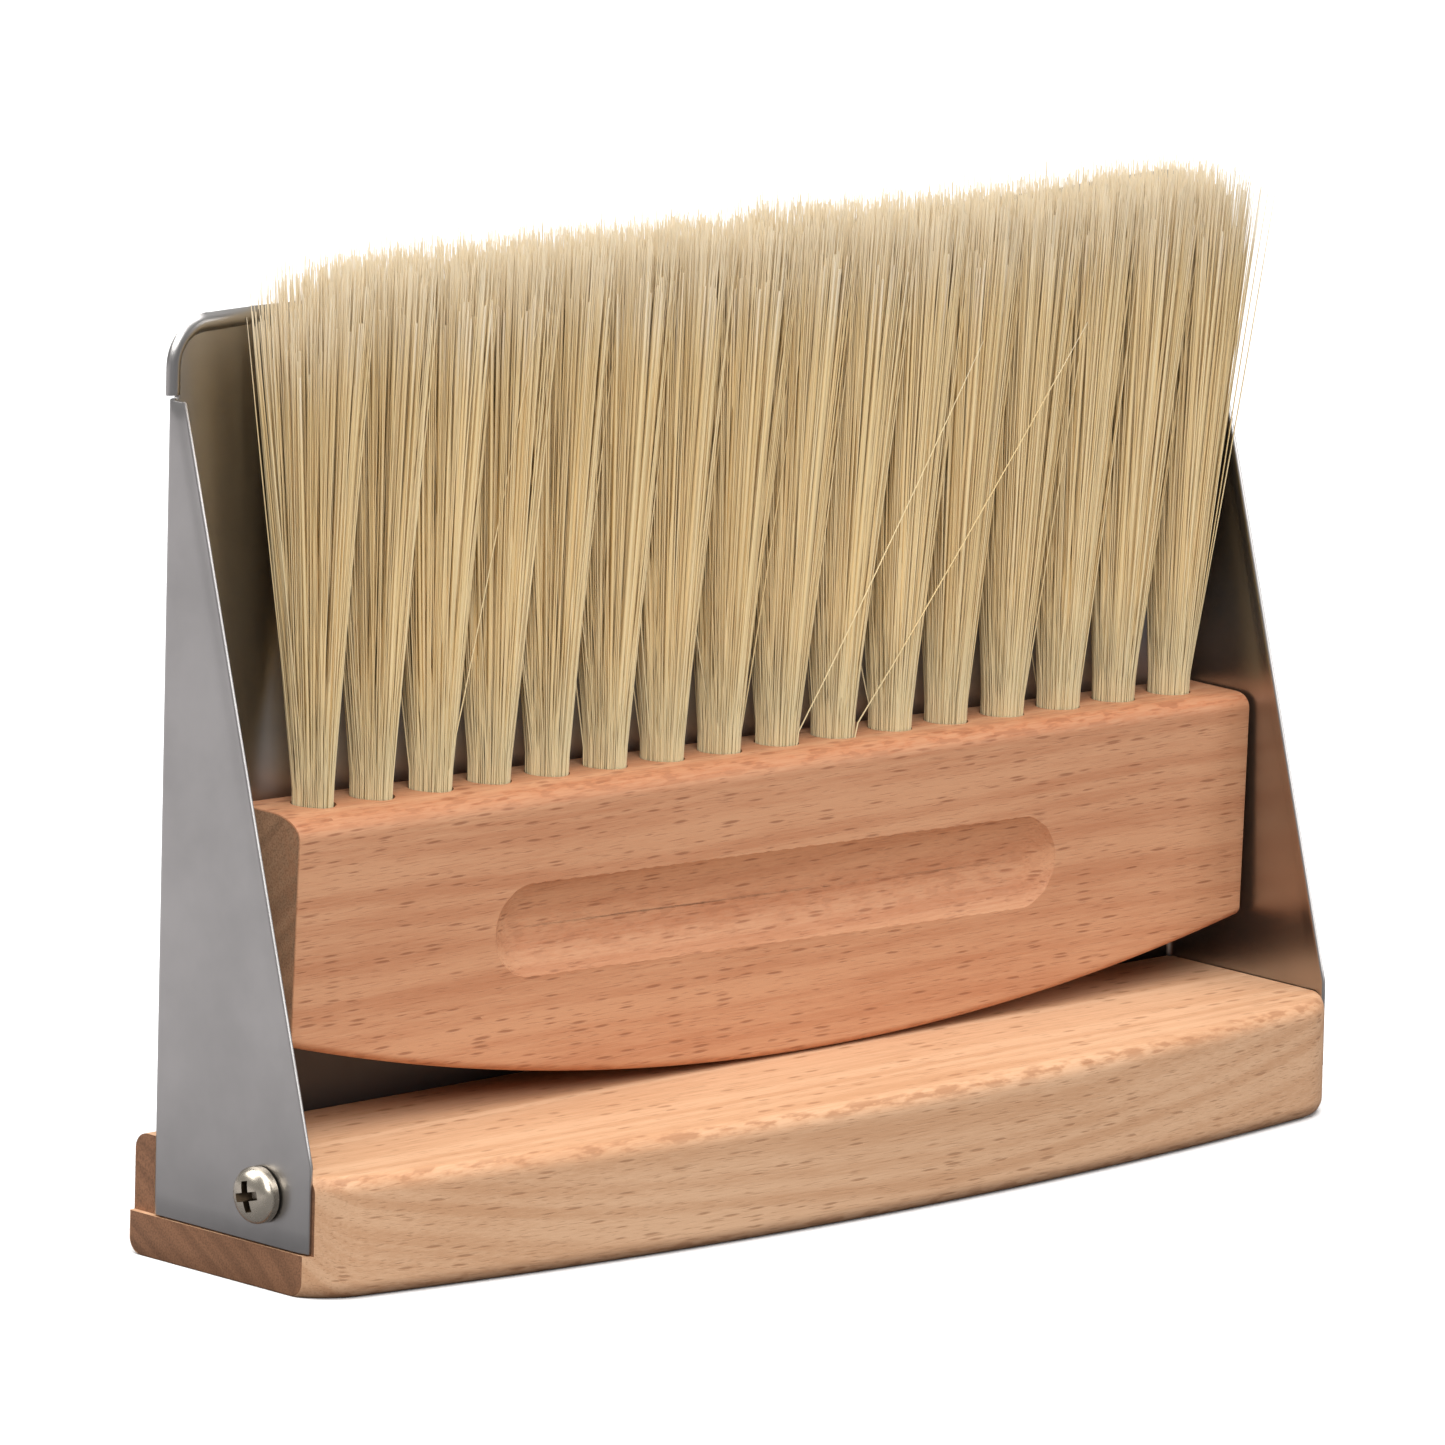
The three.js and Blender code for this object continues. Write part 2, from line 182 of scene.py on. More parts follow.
# %% Lamps
def add_lamp(name, turn, tilt, distance, size, power):
    """A square area lamp that faces the set from a turn round it and a tilt above the floor."""
    lamp = bpy.data.objects.new(name, bpy.data.lights.new(name, "AREA"))
    lamp.data.size = size
    lamp.data.energy = power
    turn, tilt = math.radians(turn), math.radians(tilt)
    away = Vector((math.sin(turn) * math.cos(tilt), -math.cos(turn) * math.cos(tilt), math.sin(tilt)))
    lamp.location = away * distance
    lamp.rotation_mode = "QUATERNION"
    lamp.rotation_quaternion = away.to_track_quat("Z", "Y")
    bpy.context.collection.objects.link(lamp)


add_lamp("overhead", turn=0, tilt=86, distance=2.2, size=2.4, power=64)
add_lamp("front_left", turn=-36, tilt=40, distance=1.9, size=1.1, power=21)
add_lamp("front_right", turn=46, tilt=17, distance=2.2, size=1.0, power=9)
add_lamp("left_back", turn=-137, tilt=42, distance=2.4, size=1.6, power=26)

# %% [markdown]
# ## Beech
# Beech is pale and even, with faint growth rings, fine fibres, and short dark flecks that run
# with the grain. An image would slide at the edges, so the figure is worked out at each point
# in the wood: the rings are distances from the tree's middle, and the flecks are cells drawn
# out along the plank. One node group makes it, and the bar and the block use it with their own
# colours. Worn or machined edges are darker and more orange, and cut ends are darker still. The
# block's groove takes the same darker orange as painted shading, most in its floor and lower half.


# %% Beech figure group
def group_with(name, inputs, outputs):
    tree = bpy.data.node_groups.new(name, "ShaderNodeTree")
    kinds = {"f": "NodeSocketFloat", "v": "NodeSocketVector", "c": "NodeSocketColor"}
    for label, kind in inputs.items():
        tree.interface.new_socket(name=label, in_out="INPUT", socket_type=kinds[kind])
    for label, kind in outputs.items():
        tree.interface.new_socket(name=label, in_out="OUTPUT", socket_type=kinds[kind])
    return tree, tree.nodes.new("NodeGroupInput").outputs, tree.nodes.new("NodeGroupOutput").inputs


def noise_of(tree, place, stretch, detail=2.0, roughness=0.5, **settings):
    """Noise over millimetres, with stretch cycles per millimetre along each axis."""
    moved = vectors(tree, "MULTIPLY", place, stretch)
    values = {"Vector": moved, "Scale": 1.0, "Detail": detail, "Roughness": roughness}
    return add_node(tree, "ShaderNodeTexNoise", values, **settings).outputs["Fac"]


def grey(tree, level):
    return add_node(tree, "ShaderNodeCombineColor", dict.fromkeys(range(3), level)).outputs[0]


def make_beech_group():
    inputs = {"Place": "v", "Pith": "v", "Pale": "c", "Dark": "c", "Fleck": "c", "Wear And Shade Colour": "c"}
    inputs |= {"Cut End": "c", "Flecks": "f", "Ring Width": "f", "Wear And Shade": "f", "End": "f"}
    tree, given, out = group_with("Beech figure", inputs, {"Color": "c", "Roughness": "f", "Height": "f"})
    millimetres = vectors(tree, "MULTIPLY", given["Place"], (1000, 1000, 1000))

    drift = noise_of(tree, millimetres, (0.008, 0.03, 0.03), detail=1.0)
    from_pith = vectors(tree, "SUBTRACT", millimetres, given["Pith"])
    across = vectors(tree, "MULTIPLY", from_pith, (0, 1, 1))
    reach = add_node(tree, "ShaderNodeVectorMath", {0: across}, operation="LENGTH").outputs["Value"]
    ring_place = maths(tree, "MULTIPLY_ADD", drift, 7.0, reach)
    ring_count = maths(tree, "DIVIDE", ring_place, given["Ring Width"])
    ring_noise = {"W": ring_count, "Scale": 1.0, "Detail": 2.5}
    rings = add_node(tree, "ShaderNodeTexNoise", ring_noise, noise_dimensions="1D").outputs["Fac"]
    rings = remap(tree, rings, 0.30, 0.70)

    fibres = noise_of(tree, millimetres, (0.13, 3.2, 3.2), detail=4.0, roughness=0.7)
    patches = noise_of(tree, millimetres, (0.02, 0.09, 0.09), detail=2.0)
    grain = maths(tree, "MULTIPLY", fibres, 0.62)
    grain = maths(tree, "MULTIPLY_ADD", rings, 0.24, grain)
    grain = maths(tree, "MULTIPLY_ADD", patches, 0.45, grain)
    plain = blend_colours(tree, remap(tree, grain, 0.42, 0.90), given["Pale"], given["Dark"])
    hairline = noise_of(tree, millimetres, (0.24, 2.8, 4.2), detail=2.0)
    hairline = remap(tree, hairline, 0.55, 0.72, 0.0, 0.55)

    bent = noise_of(tree, millimetres, (0.12, 0.5, 0.5), detail=1.0)
    bend = add_node(tree, "ShaderNodeCombineXYZ", {"Z": maths(tree, "MULTIPLY", bent, 0.9)}).outputs[0]
    cells = vectors(tree, "ADD", vectors(tree, "MULTIPLY", millimetres, (0.21, 0.7, 1.7)), bend)
    voronoi = add_node(tree, "ShaderNodeTexVoronoi", {"Vector": cells, "Scale": 1.0, "Randomness": 1.0})
    chance = add_node(tree, "ShaderNodeSeparateColor", {0: voronoi.outputs["Color"]}).outputs[0]
    size = remap(tree, chance, 0.20, 1.0, 0.02, 0.44)
    inside = maths(tree, "SUBTRACT", size, voronoi.outputs["Distance"])
    fleck = maths(tree, "MAXIMUM", remap(tree, inside, -0.03, 0.26), hairline)
    sides = maths(tree, "SUBTRACT", 1.0, given["End"])
    fleck = maths(tree, "MULTIPLY", fleck, sides)
    figured = blend_colours(tree, maths(tree, "MULTIPLY", fleck, given["Flecks"]), plain, given["Fleck"])

    ring_shade = maths(tree, "MULTIPLY_ADD", rings, 0.26, 0.84)
    cut = blend_colours(tree, 1.0, given["Cut End"], grey(tree, ring_shade), "MULTIPLY")
    pores = remap(tree, noise_of(tree, millimetres, (0.6, 3.4, 3.4), detail=2.0), 0.30, 0.62, 0.72, 1.06)
    cut = blend_colours(tree, 1.0, cut, grey(tree, pores), "MULTIPLY")
    figured = blend_colours(tree, given["End"], figured, cut)

    # worn edges, and on the block the painted shading of its groove, blend towards a darker orange
    scorch = remap(tree, noise_of(tree, millimetres, (0.28, 0.9, 0.9), detail=4.0), 0.42, 0.62, 0.25, 1.0)
    wear_and_shade_colour = blend_colours(tree, remap(tree, scorch, 0.7, 1.0, 0.0, 0.55), given["Wear And Shade Colour"], given["Fleck"])
    figured = blend_colours(tree, maths(tree, "MULTIPLY", given["Wear And Shade"], scorch), figured, wear_and_shade_colour)
    tree.links.new(figured, out["Color"])
    tree.links.new(remap(tree, fibres, 0.2, 0.8, 0.48, 0.66), out["Roughness"])
    tree.links.new(maths(tree, "MULTIPLY_ADD", fleck, -0.9, fibres), out["Height"])
    return tree


beech_group = make_beech_group()
print("beech figure nodes", len(beech_group.nodes))


# %% Beech materials
def use_group(tree, group, values):
    made = tree.nodes.new("ShaderNodeGroup")
    made.node_tree = group
    for key, value in values.items():
        if isinstance(value, bpy.types.NodeSocket):
            tree.links.new(value, made.inputs[key])
        else:
            made.inputs[key].default_value = value
    return made.outputs


def bump_into(tree, shader, height, distance, strength):
    bump = add_node(tree, "ShaderNodeBump", {"Height": height, "Distance": distance, "Strength": strength})
    tree.links.new(bump.outputs["Normal"], shader.inputs["Normal"])


def make_beech(name, values):
    material, shader = new_material(name, specular_ior_level=0.35)
    tree = material.node_tree
    values["Place"] = add_node(tree, "ShaderNodeTexCoord").outputs["Object"]
    for label, attribute in (("Wear And Shade", "edge"), ("End", "cut_end")):
        values[label] = add_node(tree, "ShaderNodeAttribute", attribute_name=attribute).outputs["Fac"]
    figure = use_group(tree, beech_group, values)
    tree.links.new(figure["Color"], shader.inputs["Base Color"])
    tree.links.new(figure["Roughness"], shader.inputs["Roughness"])
    bump_into(tree, shader, figure["Height"], distance=0.00006, strength=0.5)
    return material


bar_beech = make_beech(
    "bar_beech",
    {
        "Pith": (0, 62, -70),
        "Pale": tint(223, 180, 143),
        "Dark": tint(204, 156, 118),
        "Fleck": tint(156, 108, 74),
        "Wear And Shade Colour": tint(186, 130, 90),
        "Cut End": tint(144, 102, 74),
        "Flecks": 0.6,
        "Ring Width": 2.4,
    },
)
brush_beech = make_beech(
    "brush_beech",
    {
        "Pith": (0, 95, 150),
        "Pale": tint(204, 152, 115),
        "Dark": tint(186, 128, 92),
        "Fleck": tint(136, 84, 56),
        "Wear And Shade Colour": tint(188, 112, 70),
        "Cut End": tint(156, 122, 94),
        "Flecks": 0.65,
        "Ring Width": 2.8,
    },
)

# %% [markdown]
# ## Metals
# The pan is satin stainless sheet: it mirrors softly, and faint smudges change how sharp the
# mirror is. The screws are plated and brighter, with shade painted dark into their duller recess.
# All of them read one group of smudges, with their own size and strength, and so do the magnets
# and the staples.


# %% Smudge group and metals
def make_smudge_group():
    inputs = {"Place": "v", "Metal": "c", "Per Millimetre": "f", "Dullness": "f", "Change": "f"}
    tree, given, out = group_with("Handled metal", inputs, {"Color": "c", "Roughness": "f", "Height": "f"})
    millimetres = vectors(tree, "MULTIPLY", given["Place"], (1000, 1000, 1000))
    place = add_node(tree, "ShaderNodeVectorMath", {0: millimetres}, operation="SCALE")
    tree.links.new(given["Per Millimetre"], place.inputs["Scale"])
    smudges = noise_of(tree, place.outputs[0], (1, 1, 1), detail=4.0, roughness=0.6)
    specks = noise_of(tree, place.outputs[0], (14, 14, 14), detail=2.0)
    swing = maths(tree, "MULTIPLY", maths(tree, "SUBTRACT", smudges, 0.5), given["Change"])
    tree.links.new(maths(tree, "ADD", given["Dullness"], swing), out["Roughness"])
    shade = remap(tree, smudges, 0.3, 0.75, 1.04, 0.90)
    tree.links.new(blend_colours(tree, 1.0, given["Metal"], grey(tree, shade), "MULTIPLY"), out["Color"])
    tree.links.new(specks, out["Height"])
    return tree


smudge_group = make_smudge_group()
# painted shade: the dark colour that the pan's inside is blended towards in the crevice over the bar
PAINTED_SHADE_COLOUR = tint(38, 33, 30)


def make_metal(name, metal, dullness, per_millimetre, change, bump):
    material, shader = new_material(name, metallic=1.0)
    tree = material.node_tree
    # painted shade: a point attribute, set only on the pan, blends the metal towards that dark colour
    painted_shade = add_node(tree, "ShaderNodeAttribute", attribute_name="painted_shade").outputs["Fac"]
    metal = blend_colours(tree, painted_shade, metal, PAINTED_SHADE_COLOUR)
    values = {"Place": add_node(tree, "ShaderNodeTexCoord").outputs["Object"], "Metal": metal}
    values |= {"Dullness": dullness, "Per Millimetre": per_millimetre, "Change": change}
    worn = use_group(tree, smudge_group, values)
    tree.links.new(worn["Color"], shader.inputs["Base Color"])
    tree.links.new(worn["Roughness"], shader.inputs["Roughness"])
    bump_into(tree, shader, worn["Height"], distance=0.00001, strength=bump)
    return material


steel = make_metal("satin_steel", tint(178, 175, 173), 0.30, 0.05, 0.08, 0.03)
nickel = make_metal("nickel_plate", tint(206, 196, 180), 0.27, 0.6, 0.20, 0.10)
# painted shade: the dark, duller material for the faces inside a screw's cross recess
nickel_painted_shade = make_metal("nickel_painted_shade", tint(88, 74, 58), 0.42, 0.6, 0.20, 0.20)
magnet_plate = make_metal("magnet_plate", tint(190, 190, 193), 0.28, 0.4, 0.15, 0.10)
anchor_wire = make_metal("anchor_wire", tint(196, 192, 182), 0.34, 0.8, 0.20, 0.15)
print("metals", [m.name for m in (steel, nickel, magnet_plate, anchor_wire)])

# %% [markdown]
# ## Pan sheet
# The pan is one sheet with two bent flaps. It could be a flat plate, folded, but the flaps
# taper and the upper corners are round, so its outside is laid out as a grid instead: rows go
# up the sheet, and columns run from one flap's front edge round the back to the other's. A
# Solidify modifier then gives the wall, and a Bevel takes the edge off its rim.

# %% Sheet sizes
SHEET = 0.0007
BEND = 0.0016  # outside radius of the flap bends
LIP_CORNER = 0.0065
FLAP_KINK = 0.0191  # height at which a flap's front edge starts to slope back
FLAP_TOP = 0.1236
FLAP_TOP_DEPTH = 0.0035
NOTCH = 0.0006
RIM_RISE = 0.0009
RIM_CREST = 0.0009  # from the edge in to the top of the rim
RIM_FOOT = 0.0019  # from the edge in to where the rim meets the flat
RIM_FULL, RIM_END = 0.092, 0.068  # the rim is whole beyond the first, and gone at the second
CURL = 0.00035  # the flap's front edge is pressed in by this much ...
CURL_WIDTH = 0.0024  # ... over this width
WAVE = 0.00003  # unevenness of the flat sheet
RIM_EDGE_SHARE = 0.75  # share of the rim's height that its crest has over its edge
PLATE_EVEN = 0.090  # columns are evenly spread inside this, and close together outside it
# painted shade inside the pan: the height it starts below, the height it fades over, and its strength
PAINTED_SHADE_TOP, PAINTED_SHADE_FADE, PAINTED_SHADE_MOST = 0.050, 0.012, 0.9

pan_lo, pan_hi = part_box("pan_sheet")
half_width = pan_hi.x
sheet_back = pan_hi.y


# %% Sheet outline
def spread(start, end, steps):
    return [start + (end - start) * i / steps for i in range(steps + 1)]


def ease(t):
    t = min(1.0, max(0.0, t))
    return t * t * (3 - 2 * t)


def flap_depth(z):
    slope = max(0.0, (z - FLAP_KINK) / (FLAP_TOP - FLAP_KINK))
    full = pan_hi.y - pan_lo.y
    return full + (FLAP_TOP_DEPTH - full) * slope


def flap_column(z):
    """Points of the left side at height z, from the flap's front edge round the bend."""
    flat = flap_depth(z) - BEND
    points = []
    for t in spread(0, 1, 12):
        inward = flat * t**1.6
        curl = CURL * ease(1 - inward / CURL_WIDTH)
        points.append((-half_width + curl, sheet_back - BEND - flat + inward))
    for angle in spread(math.pi, math.pi / 2, 6)[1:-1]:
        turn = Vector((math.cos(angle), math.sin(angle))) * BEND
        points.append((-half_width + BEND + turn.x, sheet_back - BEND + turn.y))
    return points


# the plate's columns are close together near its sides, where the rim is
plate_edge = half_width - BEND
near_side = spread(PLATE_EVEN, plate_edge, 34)
middle = spread(-PLATE_EVEN, PLATE_EVEN, 30)[1:-1]
plate_columns = [-x for x in reversed(near_side)] + middle + near_side
ear_columns = spread(plate_edge, half_width, 8)[1:]


def lip_half(z):
    """Half width of the plate at height z, where its upper corners are round."""
    over = max(0.0, z - (pan_hi.z - LIP_CORNER))
    return half_width - LIP_CORNER + math.sqrt(max(0.0, LIP_CORNER**2 - over**2))


def rim_rise(x, z):
    side, top = abs(x) - (half_width - LIP_CORNER), z - (pan_hi.z - LIP_CORNER)
    if side > 0 and top > 0:
        inside = LIP_CORNER - math.hypot(side, top)
    else:
        inside = LIP_CORNER - max(side, top)
    if inside < RIM_CREST:
        rise = RIM_RISE * (1 - RIM_EDGE_SHARE * (1 - inside / RIM_CREST) ** 2)
    else:
        rise = RIM_RISE * ease(1 - (inside - RIM_CREST) / (RIM_FOOT - RIM_CREST))
    return rise * ease((abs(x) - RIM_END) / (RIM_FULL - RIM_END))


def uneven(x, z):
    return WAVE * noise.noise(Vector((x * 14, z * 14, 0.3)))


# %% Sheet grid
def lower_row(z):
    left = flap_column(z)
    plate = [(x, sheet_back - WAVE + uneven(x, z)) for x in plate_columns]
    right = [(-x, y) for x, y in reversed(left)]
    return [Vector((x, y, z)) for x, y in left + plate + right]


def upper_row(z):
    scale = lip_half(z) / half_width
    columns = [-x for x in reversed(ear_columns)] + plate_columns + ear_columns
    rise = [(x * scale, rim_rise(x * scale, z)) for x in columns]
    return [Vector((x, sheet_back - WAVE + uneven(x, z) - up, z)) for x, up in rise]


def join_rows(faces, below, above, count):
    for i in range(count - 1):
        faces.append((below + i, above + i, above + i + 1, below + i + 1))


def make_pan_sheet():
    kink_rows = spread(pan_lo.z, FLAP_KINK, 4)
    lower = [lower_row(z) for z in kink_rows + spread(FLAP_KINK, FLAP_TOP, 36)[1:]]
    foot = FLAP_TOP + NOTCH
    shoulder = pan_hi.z - LIP_CORNER
    corner = [shoulder + LIP_CORNER * math.sin(a) for a in spread(0, math.pi / 2, 30)]
    upper = [upper_row(z) for z in spread(foot, shoulder, 6) + corner[1:]]
    verts = [p for row in lower + upper for p in row]
    faces = []
    wide, narrow = len(lower[0]), len(upper[0])
    for r in range(len(lower) - 1):
        join_rows(faces, r * wide, (r + 1) * wide, wide)
    last, first = (len(lower) - 1) * wide, len(lower) * wide
    side = (wide - len(plate_columns)) // 2
    join_rows(faces, last + side, first + len(ear_columns), len(plate_columns))
    for r in range(len(upper) - 1):
        join_rows(faces, first + r * narrow, first + (r + 1) * narrow, narrow)
    return add_piece("steel_pan", verts, faces, steel)


def mark_painted_shade(piece):
    """Darkens the inside of the pan in the crevice over the bar with painted shade."""
    mesh = piece.data
    painted_shade = mesh.attributes.new("painted_shade", "FLOAT", "POINT")
    inside = [v.normal.y < -0.5 and abs(v.co.x) < plate_edge for v in mesh.vertices]
    depth = [ease((PAINTED_SHADE_TOP - v.co.z) / PAINTED_SHADE_FADE) for v in mesh.vertices]
    painted_shade.data.foreach_set("value", [PAINTED_SHADE_MOST * d if i else 0.0 for i, d in zip(inside, depth)])


def settle(piece):
    """Turns what the modifiers make into the piece's own mesh."""
    graph = bpy.context.evaluated_depsgraph_get()
    mesh = bpy.data.meshes.new_from_object(piece.evaluated_get(graph), depsgraph=graph)
    piece.modifiers.clear()
    piece.data = mesh


def carve(piece, *cutters):
    """Cuts each cutter's shape out of the piece."""
    for cutter in cutters:
        cut = piece.modifiers.new(cutter.name, "BOOLEAN")
        cut.object = cutter
        cut.operation = "DIFFERENCE"
        cut.solver = "EXACT"
    settle(piece)
    for cutter in cutters:
        bpy.data.objects.remove(cutter)


def smooth(piece, degrees):
    piece.data.shade_smooth()
    piece.data.set_sharp_from_angle(angle=math.radians(degrees))


def round_edges(piece, width, segments, degrees):
    bevel = piece.modifiers.new("edges", "BEVEL")
    bevel.width = width
    bevel.segments = segments
    bevel.limit_method = "ANGLE"
    bevel.angle_limit = math.radians(degrees)
    bevel.use_clamp_overlap = False


# %% [markdown]
# Long pieces of one kind, such as the bar, the block and the cutters for their holes, are
# lofts: a closed outline at each of several stations along an axis, joined by faces.


# %% Lofts
def loft(name, rows, material=None):
    """Closed outlines, each anticlockwise as seen from the far end, joined along their length."""
    count = len(rows[0])
    faces = [tuple(reversed(range(count))), tuple(range((len(rows) - 1) * count, len(rows) * count))]
    for r in range(len(rows) - 1):
        for i in range(count):
            j = (i + 1) % count
            faces.append((r * count + i, r * count + j, (r + 1) * count + j, (r + 1) * count + i))
    return add_piece(name, [p for row in rows for p in row], faces, material)


def rod(name, start, end, radius, sides=32):
    """A round bar between two points, for cutting holes."""
    turn = (end - start).to_track_quat("Z", "Y")
    angles = [2 * math.pi * i / sides for i in range(sides)]
    outline = [turn @ Vector((radius * math.cos(a), radius * math.sin(a), 0)) for a in angles]
    return loft(name, [[start + p for p in outline], [end + p for p in outline]])


def block_cutter(name, lo, hi):
    corners = [(lo[1], lo[2]), (hi[1], lo[2]), (hi[1], hi[2]), (lo[1], hi[2])]
    return loft(name, [[Vector((x, y, z)) for y, z in corners] for x in (lo[0], hi[0])])


def centre_of(node):
    lo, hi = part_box(node)
    return (lo + hi) / 2


SCREW_HOLE = 0.0048
BORE_PAST = 0.003
screw_at = {side: centre_of(f"side_screw_{side}") for side in ("left", "right")}


def screw_bore(side, reach, past):
    """A cutter for a screw's hole, from reach inside the pan's width to past it."""
    sign = -1 if side == "left" else 1
    at = screw_at[side]
    ends = [Vector((sign * x, at.y, at.z)) for x in (half_width - reach, half_width + past)]
    return rod(f"bore_{side}", *ends, SCREW_HOLE / 2)


# %% Pan sheet piece
pan = make_pan_sheet()
wall = pan.modifiers.new("wall", "SOLIDIFY")
wall.thickness = SHEET
wall.offset = -1
wall.use_even_offset = True
round_edges(pan, width=0.00012, segments=2, degrees=50)
settle(pan)
carve(pan, screw_bore("left", BORE_PAST, BORE_PAST), screw_bore("right", BORE_PAST, BORE_PAST))
smooth(pan, 40)
mark_painted_shade(pan)
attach(pan, "pan")
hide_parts("pan_sheet")
print("pan", len(pan.data.polygons), "faces")

# %% [markdown]
# ## Handle bar
# The bar is planed beech with a straight back and a bowed front that tightens at both ends, its
# long edges are rounded with a router, and a kerf takes the sheet. Sections along its length
# give all of that but the kerf, the end rebates and the screw holes, which are cut afterwards.

# %% Bar sizes
BAR_BOW = 0.560
BAR_CORNER = 0.011
BAR_CORNER_X = 0.0905
BAR_EDGE = 0.0024
BAR_EVEN = 0.086  # sections are evenly spread inside this, and close together outside it
CUT_PAST = 0.002  # cutters run this far past what they cut
GAP = 0.0003
REBATE = 0.001
LEDGE = pan_lo.z - GAP
SCREW_REACH = 0.022

bar_lo, bar_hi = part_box("handle_bar")
bow_centre = bar_lo.y + BAR_BOW
lean = math.asin(BAR_CORNER_X / (BAR_BOW - BAR_CORNER))
corner_centre = bow_centre - (BAR_BOW - BAR_CORNER) * math.cos(lean)


# %% Bar sections
def bar_front(x):
    if abs(x) < BAR_BOW * math.sin(lean):
        return bow_centre - math.sqrt(BAR_BOW**2 - x**2)
    return corner_centre - math.sqrt(BAR_CORNER**2 - (abs(x) - BAR_CORNER_X) ** 2)


def quarter(centre, reach, start, steps):
    """A quarter of an ellipse from a start angle."""
    angles = spread(start, start + math.pi / 2, steps)
    return [(centre[0] + reach[0] * math.cos(a), centre[1] + reach[1] * math.sin(a)) for a in angles]


def rounded_section(y0, y1, z0, z1, edges, steps=7, margin=0.0004):
    """A rounded rectangle, with a point beside each arc that keeps the flats flat. edges gives
    the rounding (across, up) of its corners: lower front, lower back, upper back, upper front."""
    corners = [(y0, z0, 1, 1), (y1, z0, -1, 1), (y1, z1, -1, -1), (y0, z1, 1, -1)]
    section = []
    for i, ((y, z, right, up), (across, rise)) in enumerate(zip(corners, edges)):
        arc = quarter((y + right * across, z + up * rise), (across, rise), math.pi * (1 + i / 2), steps)
        before, after = (0, up * margin), (right * margin, 0)
        if i % 2:
            before, after = (right * margin, 0), (0, up * margin)
        section.append((arc[0][0] + before[0], arc[0][1] + before[1]))
        section += arc
        section.append((arc[-1][0] + after[0], arc[-1][1] + after[1]))
    return section


def make_handle_bar():
    ends = spread(BAR_EVEN, bar_hi.x, 14)
    stations = [-x for x in reversed(ends)] + spread(-BAR_EVEN, BAR_EVEN, 30)[1:-1] + ends
    rows = []
    for x in stations:
        section = rounded_section(bar_front(x), bar_hi.y, bar_lo.z, bar_hi.z, [(BAR_EDGE, BAR_EDGE)] * 4)
        rows.append([Vector((x, y, z)) for y, z in section])
    return loft("beech_bar", rows, bar_beech)


# %% Marks for edges and cut ends
def mark_wood(piece, wear_and_shade_of):
    """Stores wear and painted groove shade per point, and which faces are cut across the grain."""
    mesh = piece.data
    # this attribute holds wear, and the painted shading in the block's groove
    edge = mesh.attributes.new("edge", "FLOAT", "POINT")
    edge.data.foreach_set("value", [wear_and_shade_of(v.co) for v in mesh.vertices])
    cut = mesh.attributes.new("cut_end", "FLOAT", "FACE")
    cut.data.foreach_set("value", [1.0 if abs(f.normal.x) > 0.93 else 0.0 for f in mesh.polygons])


def bar_wear(point):
    low = min(point.z - bar_lo.z, bar_hi.z - point.z)
    front = point.y - bar_front(max(-bar_hi.x, min(bar_hi.x, point.x)))
    return ease(1.1 - low / BAR_EDGE) * ease(1.1 - front / BAR_EDGE)


# %% Handle bar piece
bar = make_handle_bar()
round_edges(bar, width=0.0003, segments=2, degrees=26)
settle(bar)
far = bar_hi.x + CUT_PAST
above = bar_hi.z + CUT_PAST
kerf = block_cutter("kerf", (-far, sheet_back - SHEET - GAP, LEDGE), (far, sheet_back + GAP, above))
rebates = [
    block_cutter(f"rebate_{i}", (x0, bar_lo.y - CUT_PAST, LEDGE), (x1, bar_hi.y + CUT_PAST, above))
    for i, (x0, x1) in enumerate([(-far, REBATE - bar_hi.x), (bar_hi.x - REBATE, far)])
]
reliefs = [
    block_cutter(f"relief_{i}", (x0, sheet_back - BEND, LEDGE), (x1, sheet_back + GAP, above))
    for i, (x0, x1) in enumerate([(-far, BEND - bar_hi.x), (bar_hi.x - BEND, far)])
]
carve(bar, kerf, *rebates)
carve(bar, *reliefs)
carve(bar, screw_bore("left", SCREW_REACH, BORE_PAST), screw_bore("right", SCREW_REACH, BORE_PAST))
smooth(bar, 30)
mark_wood(bar, bar_wear)
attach(bar, "pan")
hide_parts("handle_bar")
print("bar", len(bar.data.polygons), "faces")

# %% [markdown]
# ## Side screws
# Two nickel-plated pan-head screws hold the flaps. A screw is the classic turned shape, so its
# profile is spun round its axis, and a cross-shaped cutter with tapered wings makes the recess.

# %% Screws
HEAD_HEIGHT = 0.0029
SHANK = 0.0042
THREAD_PITCH = 0.0016
THREAD_DEPTH = 0.00045
RECESS_TURN = 14
RECESS_DEPTH = 0.0022
RECESS_FLOOR = (0.0010, 0.00046)  # half length and half width of a wing at its floor
RECESS_MOUTH = (0.0027, 0.00068)
RECESS_REACH = 0.0028  # faces nearer the axis than this can be in the recess


def spin_profile(name, profile, sides, material):
    """Turns (radius, height) points round the X axis. The first and last are on the axis."""
    verts = [Vector((profile[0][1], 0, 0)), Vector((profile[-1][1], 0, 0))]
    rings = profile[1:-1]
    for radius, height in rings:
        for i in range(sides):
            a = 2 * math.pi * i / sides
            verts.append(Vector((height, radius * math.cos(a), radius * math.sin(a))))
    faces = []
    for i in range(sides):
        j = (i + 1) % sides
        faces.append((0, 2 + j, 2 + i))
        last = 2 + (len(rings) - 1) * sides
        faces.append((1, last + i, last + j))
        for r in range(len(rings) - 1):
            a, b = 2 + r * sides, 2 + (r + 1) * sides
            faces.append((a + i, a + j, b + j, b + i))
    return add_piece(name, verts, faces, material)


